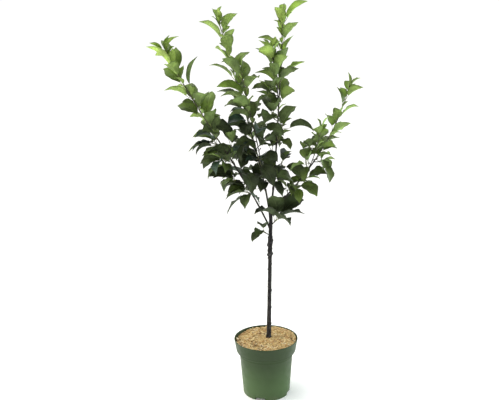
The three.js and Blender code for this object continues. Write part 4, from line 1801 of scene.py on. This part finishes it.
@dataclass
class Bough:
    """A bare limb between the trunk and its mass, with a collar where it leaves the trunk.

    Scars stand a step apart, from the first one on, and none in the margin at the limb's tip.
    """

    name: str
    shoot: Shoot
    sides: int = 36
    step: float = 0.9
    collar: float = 1.5
    collar_length: float = 13
    grain_radius: float = 5
    flutes: Grain = Grain(0.22, (3.5, 3.5, 24), 0)
    wrinkles: Grain = Grain(0.13, (2, 2, 4), 1)
    scar_first: float = 16
    scar_step: float = 17
    scar_margin: float = 6
    scar_radius: float = 4
    scar_height: float = 0.7
    ridge: Pair = (2.6, 1.3)

    def build(self, bark: Material) -> None:
        """Carries a ring along the limb, with scars like the trunk's on a smaller scale."""
        shoot = self.shoot
        dense = shoot.path.points(np.linspace(0, shoot.bare, 200))
        length = np.linalg.norm(np.diff(dense, axis=0), axis=1).sum()
        rows = int(length / self.step)
        share = np.linspace(0, shoot.bare, rows)
        run = np.linspace(0, length, rows)
        along, bearing = np.meshgrid(run, bearings(self.sides), indexing="ij")
        skin = placed_round(self.grain_radius, bearing, along)
        out = self.flutes.at(skin, shoot.seed) + self.wrinkles.at(skin, shoot.seed)
        out += self.collar * np.exp(-along / self.collar_length)
        scars = np.arange(self.scar_first, length - self.scar_margin, self.scar_step)
        for number, scar in enumerate(scars):
            arc = off_bearing(bearing, number * GOLDEN_ANGLE) * self.scar_radius
            out += self.scar_height * bell(arc, self.ridge[0], along - scar, self.ridge[1])
        radii = shoot.radius(share)[:, None] + out
        limb = tubes(shoot.path.points(share)[None], radii[None], self.sides)
        settle(limb.piece(self.name + "_bark", [bark], 65), "bark", self.name)


# ---- pot and what is in it ----


@dataclass
class Pot:
    """The nursery container: a tapering body, a deep rim band, a rolled lip and foot notches."""

    rim_radius: float = 130
    height: float = 235
    band_foot: float = 183
    band_foot_radius: float = 121.5
    body_top: float = 170
    body_top_radius: float = 109
    foot_radius: float = 95.5
    wall: float = 2.4
    floor: float = 3
    lip: float = 2.6
    notch_count: int = 4
    notch_first: float = -108
    notch_width: float = 42
    notch_height: float = 12
    notch_inner: float = 77
    notch_edge: float = 0.45
    housing_more: Pair = (1.5, 3)
    hub: float = 6
    lip_corners: tuple[Triple, ...] = ((0.6, 4.5, 0.6), (0, 3.2, 0.8), (0.3, 0, 1.1))
    columns: int = 168

    def inside(self, height: Array | float) -> Array:
        """The radius of the wall's inner face at a height."""
        heights = [self.floor, self.body_top, self.band_foot, self.height]
        radii = [self.foot_radius - self.wall, self.body_top_radius - self.wall,
                 self.band_foot_radius - self.wall, self.rim_radius - self.lip]
        return np.interp(height, heights, radii)

    def outline(self) -> Array:
        """The wall's section: radius and height of each corner, rounded, with points between.

        Returns:
            Pairs from the underside's middle, up the outside, over the lip and down the inside.
        """
        inner, floor, sharp = self.notch_inner, self.floor, 0.1
        rim, top, band, body = self.rim_radius, self.height, self.band_foot, self.body_top
        lip = [(rim - short, top - below, cut) for short, below, cut in self.lip_corners]
        corners = [
            (self.hub, 0, 0), (inner - 0.4, 0, sharp), (inner + 0.4, 0, sharp),
            (self.foot_radius, 0, 3), (self.body_top_radius, body, 9),
            (self.band_foot_radius, band, 5), *lip, (rim - self.lip, top, 0.9),
            (float(self.inside(band)), band, 2.5), (float(self.inside(body)), body, 5),
            (self.foot_radius - self.wall, floor, 3), (inner - 2.4, floor, sharp),
            (inner - 3.2, floor, sharp), (self.hub, floor, 0),
        ]
        return rounded_line(corners)

    def build(self, plastic: Material) -> None:
        """Turns the section round the pot's axis, and lifts it to a roof over each notch."""
        section, half = self.outline(), self.notch_half()
        pitch = 360 / self.notch_count
        edges = np.array([
            self.notch_first + pitch * number + sign * (half + off)
            for number in range(self.notch_count)
            for sign in (-1, 1)
            for off in (-self.notch_edge, self.notch_edge)
        ]) % 360
        even = np.arange(self.columns) * 360 / self.columns
        near = np.abs((even[:, None] - edges + 180) % 360 - 180).min(1) < 1
        bearing = np.sort(np.concatenate([even[~near], edges]))
        radius, height = section[:, 0][:, None], section[:, 1][:, None]
        off = np.abs((bearing - self.notch_first + pitch / 2) % pitch - pitch / 2)
        opening = (off < half) & (radius > self.notch_inner)
        rise = np.where(opening & (height < self.notch_height), self.notch_height, height)
        roof = self.notch_height + self.wall
        within = (np.arange(len(section)) > np.argmax(section[:, 1]))[:, None]
        wider, deeper = self.housing_more
        housing = (off < half + wider) & (radius > self.notch_inner - deeper) & within
        rise = np.where(housing & (height < roof), roof, np.where(within, height, rise))
        rings = placed_round(radius, bearing * DEG, rise)
        shell = closed_shell(rings, (0, 0, 0), (0, 0, self.floor))
        settle(shell.piece("pot_shell", [plastic], 32), "pot_plastic", "pot")

    def notch_half(self) -> float:
        """Half a notch's opening, in degrees round the foot."""
        return math.asin(self.notch_width / 2 / self.foot_radius) / DEG


def rounded_line(corners: list[Triple], steps: int = 6, gap: float = 14) -> Array:
    """A line through corners, each replaced by an arc, with points along its long stretches.

    An arc starts and ends at the corner's cut length along its two sides, and its points lie at
    a (1-s)^2 + 2 c s (1-s) + b s^2, with c the corner.

    Args:
        corners: Radius, height and cut length of each corner.
        steps: How many points an arc has.
        gap: The longest stretch without a point.

    Returns:
        Pairs of radius and height.
    """
    places = np.array([corner[:2] for corner in corners], float)
    line = [places[:1]]
    share = np.linspace(0, 1, steps)[:, None]
    for before, corner, after, (_, _, cut) in zip(places, places[1:], places[2:], corners[1:]):
        start = corner + unit(before - corner) * min(cut, 0.45 * np.linalg.norm(before - corner))
        end = corner + unit(after - corner) * min(cut, 0.45 * np.linalg.norm(after - corner))
        arc = start * (1 - share) ** 2 + 2 * corner * share * (1 - share) + end * share**2
        line.append(arc if cut > 0.2 else corner[None])
    line = np.concatenate([*line, places[-1:]])
    filled = [line[:1]]
    for start, end in zip(line, line[1:]):
        count = max(1, int(np.linalg.norm(end - start) / gap))
        filled.append(start + (end - start) * (np.arange(1, count + 1) / count)[:, None])
    return np.concatenate(filled)


@dataclass
class Mulch:
    """The bed of bark mulch: a bumpy top under a scatter of split chips.

    A chip's length, width and thickness are pairs of a least value and what a draw adds. Most
    chips lie flat, and the share past `steep_over` stands at up to the steeper pitch.
    """

    pot: Pot
    foot: float = 211.3
    top: float = 225.3
    edge_drop: float = 2.5
    tilt: float = 8
    bump: float = 1.92
    rolls: Grain = Grain(1, (17, 17, 17), 31)
    lumps: Grain = Grain(0.5, (6, 6, 6), 32)
    rings: int = 54
    sides: int = 180
    wall_gap: float = 0.9
    chips: int = 2500
    seed: int = 71
    length: Pair = (6, 22)
    width: Pair = (2.2, 5.2)
    thickness: Pair = (0.7, 1.5)
    slimness: Triple = (0.6, 0.4, 15)
    steep_over: float = 0.88
    pitches: Pair = (42, 12)
    bank: float = 22
    bend: float = 0.3
    skew: float = 1.4
    sunk: float = 0.3
    heaped: float = 1.4
    stations: tuple[float, ...] = (-0.5, -0.2, 0.2, 0.5)
    taper: tuple[float, ...] = (0.55, 1, 0.9, 0.4)
    trunk_clear: float = 13
    patches: Grain = Grain(0.25, (24, 24, 24), 33)
    lots: tuple[float, ...] = (0.38, 0.66, 0.88, 0.97)
    pattern_spread: float = 7

    def level(self, x: Array, y: Array) -> Array:
        """The bed's height: it leans up to the rear right, dips at the wall, and rolls by noise."""
        share = np.hypot(x, y) / self.pot.inside(self.top)
        flat = np.stack([x, y, np.zeros_like(x)], -1)
        lean = self.tilt * (x + y) / (1.4 * self.pot.rim_radius)
        rough = self.rolls.at(flat) + self.lumps.at(flat)
        return self.top + lean - self.edge_drop * share**4 + self.bump * rough

    def build(self, bed: Material, woods: list[Material]) -> None:
        """Makes the bed and the chips.

        Args:
            bed: The finish of the crumbs between the chips.
            woods: The finishes that the chips are dealt, alike ones in loose patches.
        """
        around = bearings(self.sides)
        share = np.linspace(0.015, 1, self.rings)[:, None] ** 0.8
        radius = share * (self.pot.inside(self.top - 8) - self.wall_gap)
        top = placed_round(radius, around, 0.0)[::-1]
        top[..., 2] = self.level(top[..., 0], top[..., 1])
        edge = float(self.pot.inside(self.foot)) - self.wall_gap
        rings = np.concatenate([placed_round(edge, around, self.foot)[None], top])
        summit = float(self.level(np.zeros(1), np.zeros(1))[0])
        surface = closed_shell(rings, (0, 0, self.foot), (0, 0, summit))
        settle(surface.piece("mulch_bed", [bed], 70), "bark_mulch", "mulch")
        settle(self.scatter().piece("mulch_chips", woods, 35), "bark_mulch", "mulch")

    def scatter(self) -> Surface:
        """Split chips strewn over the bed: bent slivers with blunt ends, most lying flat.

        Returns:
            The chips, each with one of the wood finishes.
        """
        item = np.arange(self.chips)

        def deal(channel: int, bounds: Pair = (0, 1)) -> Array:
            """One draw a chip, from the least value up by as much as a draw adds."""
            return bounds[0] + bounds[1] * draw(self.seed, item, channel)

        bearing, yaw = TURN * deal(0), TURN * deal(1)
        wall = float(self.pot.inside(self.top - 3)) - 1.2
        centre = placed_round(wall * np.sqrt(deal(2)), bearing, 0.0)
        length = self.length[0] + self.length[1] * deal(3) ** 2
        least, more, full = self.slimness
        width = deal(4, self.width) * (least + more * length / full)
        thick = deal(5, self.thickness)
        pitch = (2 * deal(6) - 1) * np.where(deal(7) > self.steep_over, *self.pitches) * DEG
        bank = (2 * deal(8) - 1) * self.bank * DEG
        out = np.stack([np.cos(yaw) * np.cos(pitch), np.sin(yaw) * np.cos(pitch), np.sin(pitch)], -1)
        flat = np.stack([-np.sin(yaw), np.cos(yaw), np.zeros_like(yaw)], -1)
        up = np.cross(out, flat)
        flat, up = turned(flat, up, bank), turned(up, -flat, bank)
        share = np.array(self.stations)
        bend = (deal(9) - 0.5)[:, None] * self.bend * length[:, None] * share**2
        corner = np.array([(-1, -1), (1, -1), (1, 1), (-1, 1)]) / 2
        skew = (deal(10) - 0.5)[:, None] * share * self.skew
        wide = width[:, None] * np.array(self.taper)
        middle = (out[:, None] * (share * length[:, None])[..., None]
                  + up[:, None] * bend[..., None] + flat[:, None] * (skew * wide)[..., None])
        chip = (middle[:, :, None]
                + flat[:, None, None] * (wide[..., None] * corner[:, 0])[..., None]
                + up[:, None, None] * (thick[:, None, None] * corner[:, 1])[..., None])
        chip += centre[:, None, None]
        chip = self.held(chip, wall, bearing)
        ground = self.level(chip[..., 0], chip[..., 1]).mean((1, 2))
        chip[..., 2] += (ground + thick * self.sunk + self.heaped * deal(11))[:, None, None]
        single = np.concatenate([grid_quads(4, 4, True), [[3, 2, 1, 0], [12, 13, 14, 15]]])
        pattern = np.stack([np.tile([0.0, 1.0, 1.0, 0.0], 4), np.repeat(share + 0.5, 4)], -1)
        own = np.stack([deal(12), deal(13)], -1) * self.pattern_spread
        lot = np.digitize(deal(14) + self.patches.at(centre), self.lots)
        return Surface.of(
            chip.reshape(-1, 3),
            repeated(single, self.chips, 16),
            pattern=np.tile(pattern, (self.chips, 1)) + np.repeat(own, 16, 0),
            finishes=np.repeat(lot, len(single)),
        )

    def held(self, chip: Array, wall: float, bearing: Array) -> Array:
        """Slides chips in from the wall, and out from the trunk, by as much as they cross it."""
        way = np.stack([np.cos(bearing), np.sin(bearing)], -1)[:, None, None]
        far = np.hypot(chip[..., 0], chip[..., 1]).max((1, 2))
        chip[..., :2] -= way * np.maximum(0, far - wall)[:, None, None, None]
        trunk = np.array(TRUNK_CURVE[0][:2], float)
        away = chip[..., :2].mean((1, 2)) - trunk
        gap = np.linalg.norm(chip[..., :2] - trunk, axis=-1).min((1, 2))
        push = np.maximum(0, self.trunk_clear - gap)[:, None] * unit(away)
        chip[..., :2] += push[:, None, None]
        return chip


# ---- studio ----


@dataclass(frozen=True)
class Lamp:
    """A soft light: where it hangs, its size in metres or degrees, its power and its tint."""

    name: str
    place: Triple
    size: float
    power: float
    tint: Triple = (1, 1, 1)
    sun: bool = False
    aim: Triple = (0, 0, 0.9)


@dataclass
class Studio:
    """A plain pale floor, a pale surround that is dimmer overhead, soft lights and the camera."""

    eye: Triple = (-0.0555, -2.6, 1.383)
    pitch: float = 12.365
    roll: float = -1.0
    focal_px: float = 678.4
    frame_px: float = 500
    sensor: float = 36
    floor_half: float = 150000
    floor_drop: float = 0.4
    surround: float = 1.04
    overhead: float = 0.42
    overhead_from: Pair = (0.2, 0.6)
    front: float = 0.2
    front_from: Pair = (0.14, 0.32)
    front_fade: Pair = (-0.8, -0.05)
    lamps: tuple[Lamp, ...] = (
        Lamp("key", (-0.8, 0.3, 3.6), 46, 1.9, (1, 0.99, 0.96), sun=True),
        Lamp("left_box", (-2.0, 0.1, 0.8), 1.2, 34, (1, 0.98, 0.84), aim=(0, 0, 0.5)),
        Lamp("right_box", (2.0, 0.15, 0.8), 1.2, 36, (0.87, 0.98, 1), aim=(0, 0, 0.5)),
        Lamp("top_box", (-0.1, -0.6, 2.8), 1.0, 9, (1, 1, 0.97)),
    )

    def build(self, floor_paint: Material) -> None:
        """Makes the floor, the surround, the lights and the camera."""
        side = np.linspace(-self.floor_half, self.floor_half, 3)
        x, y = np.meshgrid(side, side, indexing="xy")
        points = np.stack([x, y, np.full_like(x, -self.floor_drop)], -1).reshape(-1, 3)
        floor = Surface.of(points, grid_quads(3, 3, False)).piece("floor", [floor_paint])
        self.set_surround()
        for lamp in self.lamps:
            self.hang(lamp)
        bpy.context.scene.view_settings.view_transform = "Standard"
        self.set_camera()

    def set_surround(self) -> None:
        """Lights the surround: pale from the horizon up, dimmer overhead and soonest in front."""
        world = bpy.data.worlds.new("surround")
        world.use_nodes = True
        tree = world.node_tree
        way = tree.nodes.new("ShaderNodeSeparateXYZ")
        tree.links.new(tree.nodes.new("ShaderNodeTexCoord").outputs["Generated"], way.inputs[0])
        blend = tree.nodes.new("ShaderNodeMix")
        falls = [
            ("Y", *self.front_fade, 0, 1),
            ("Z", *self.front_from, self.surround, self.front),
            ("Z", *self.overhead_from, self.surround, self.overhead),
        ]
        for socket, (axis, *ends) in zip((0, 2, 3), falls):
            fall = tree.nodes.new("ShaderNodeMapRange")
            fall.interpolation_type = "SMOOTHSTEP"
            for key, value in zip(("From Min", "From Max", "To Min", "To Max"), ends):
                fall.inputs[key].default_value = value
            tree.links.new(way.outputs[axis], fall.inputs["Value"])
            tree.links.new(fall.outputs["Result"], blend.inputs[socket])
        back = tree.nodes["Background"]
        back.inputs["Color"].default_value = (1, 1, 1, 1)
        tree.links.new(blend.outputs[0], back.inputs["Strength"])
        bpy.context.scene.world = world

    def hang(self, lamp: Lamp) -> None:
        """Hangs one soft light, turned to what it is aimed at."""
        light = bpy.data.lights.new(lamp.name, "SUN" if lamp.sun else "AREA")
        if lamp.sun:
            light.angle = lamp.size * DEG
        else:
            light.size = lamp.size
        light.energy = lamp.power
        light.color = lamp.tint
        holder = bpy.data.objects.new(lamp.name, light)
        holder.location = lamp.place
        aim = Vector(lamp.aim) - Vector(lamp.place)
        holder.rotation_euler = aim.to_track_quat("-Z", "Y").to_euler()
        bpy.context.scene.collection.objects.link(holder)

    def set_camera(self) -> None:
        """Stands the camera at its eye point, pitched down and rolled by its angles."""
        pitch, roll = self.pitch * DEG, self.roll * DEG
        ahead = Vector((0, math.cos(pitch), -math.sin(pitch)))
        level = Vector((1, 0, 0))
        above = level.cross(ahead)
        right = level * math.cos(roll) + above * math.sin(roll)
        up = above * math.cos(roll) - level * math.sin(roll)
        axes = Matrix((right, up, -ahead)).transposed().to_4x4()
        data = bpy.data.cameras.new("camera")
        data.sensor_width = self.sensor
        data.lens = self.focal_px / self.frame_px * self.sensor
        camera = bpy.data.objects.new("camera", data)
        camera.matrix_world = Matrix.Translation(self.eye) @ axes
        bpy.context.scene.collection.objects.link(camera)
        bpy.context.scene.camera = camera


# ---- all of it ----


def main() -> None:
    """Builds the studio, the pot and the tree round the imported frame, and notes their sizes."""
    logging.basicConfig(level=logging.INFO, format="%(name)s %(message)s")
    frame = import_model()
    Studio().build(FloorSkin().make())

    pot = Pot()
    pot.build(POT_GREEN.make())
    soil = frame["nodes"]["soil"]
    soil.data.materials.clear()
    soil.data.materials.append(POTTING_SOIL.make())
    Mulch(pot).build(MULCH_CRUMBS.make(), [chip.make() for chip in CHIP_SKINS])

    grove, dress = Grove(), Dress()
    bark, limb_bark = TRUNK_BARK.make(), LIMB_BARK.make()
    Trunk().build(bark)
    for name, shoot in BOUGHS.items():
        Bough(name, SHOOTS[shoot]).build(limb_bark)

    grove.grow()
    leaf_finishes = [skin.make() for tone in Tone for skin in leaf_skins(tone)]
    wood_finishes = [WOOD_SKINS[wood].make() for wood in Wood]
    for name, names in MASSES.items():
        shoots = tuple(SHOOTS[key] for key in names)
        leaves = [dress.leaf(leaf) for leaf in grove.leaves(name)]
        sun, least = SUNNY.get(name, (0, 0))
        Foliage(name, shoots, leaves, sun=sun, least=least).build(leaf_finishes, wood_finishes)

    LOG.info("%d leaves", len(grove.grown))


if __name__ == "__main__":
    main()
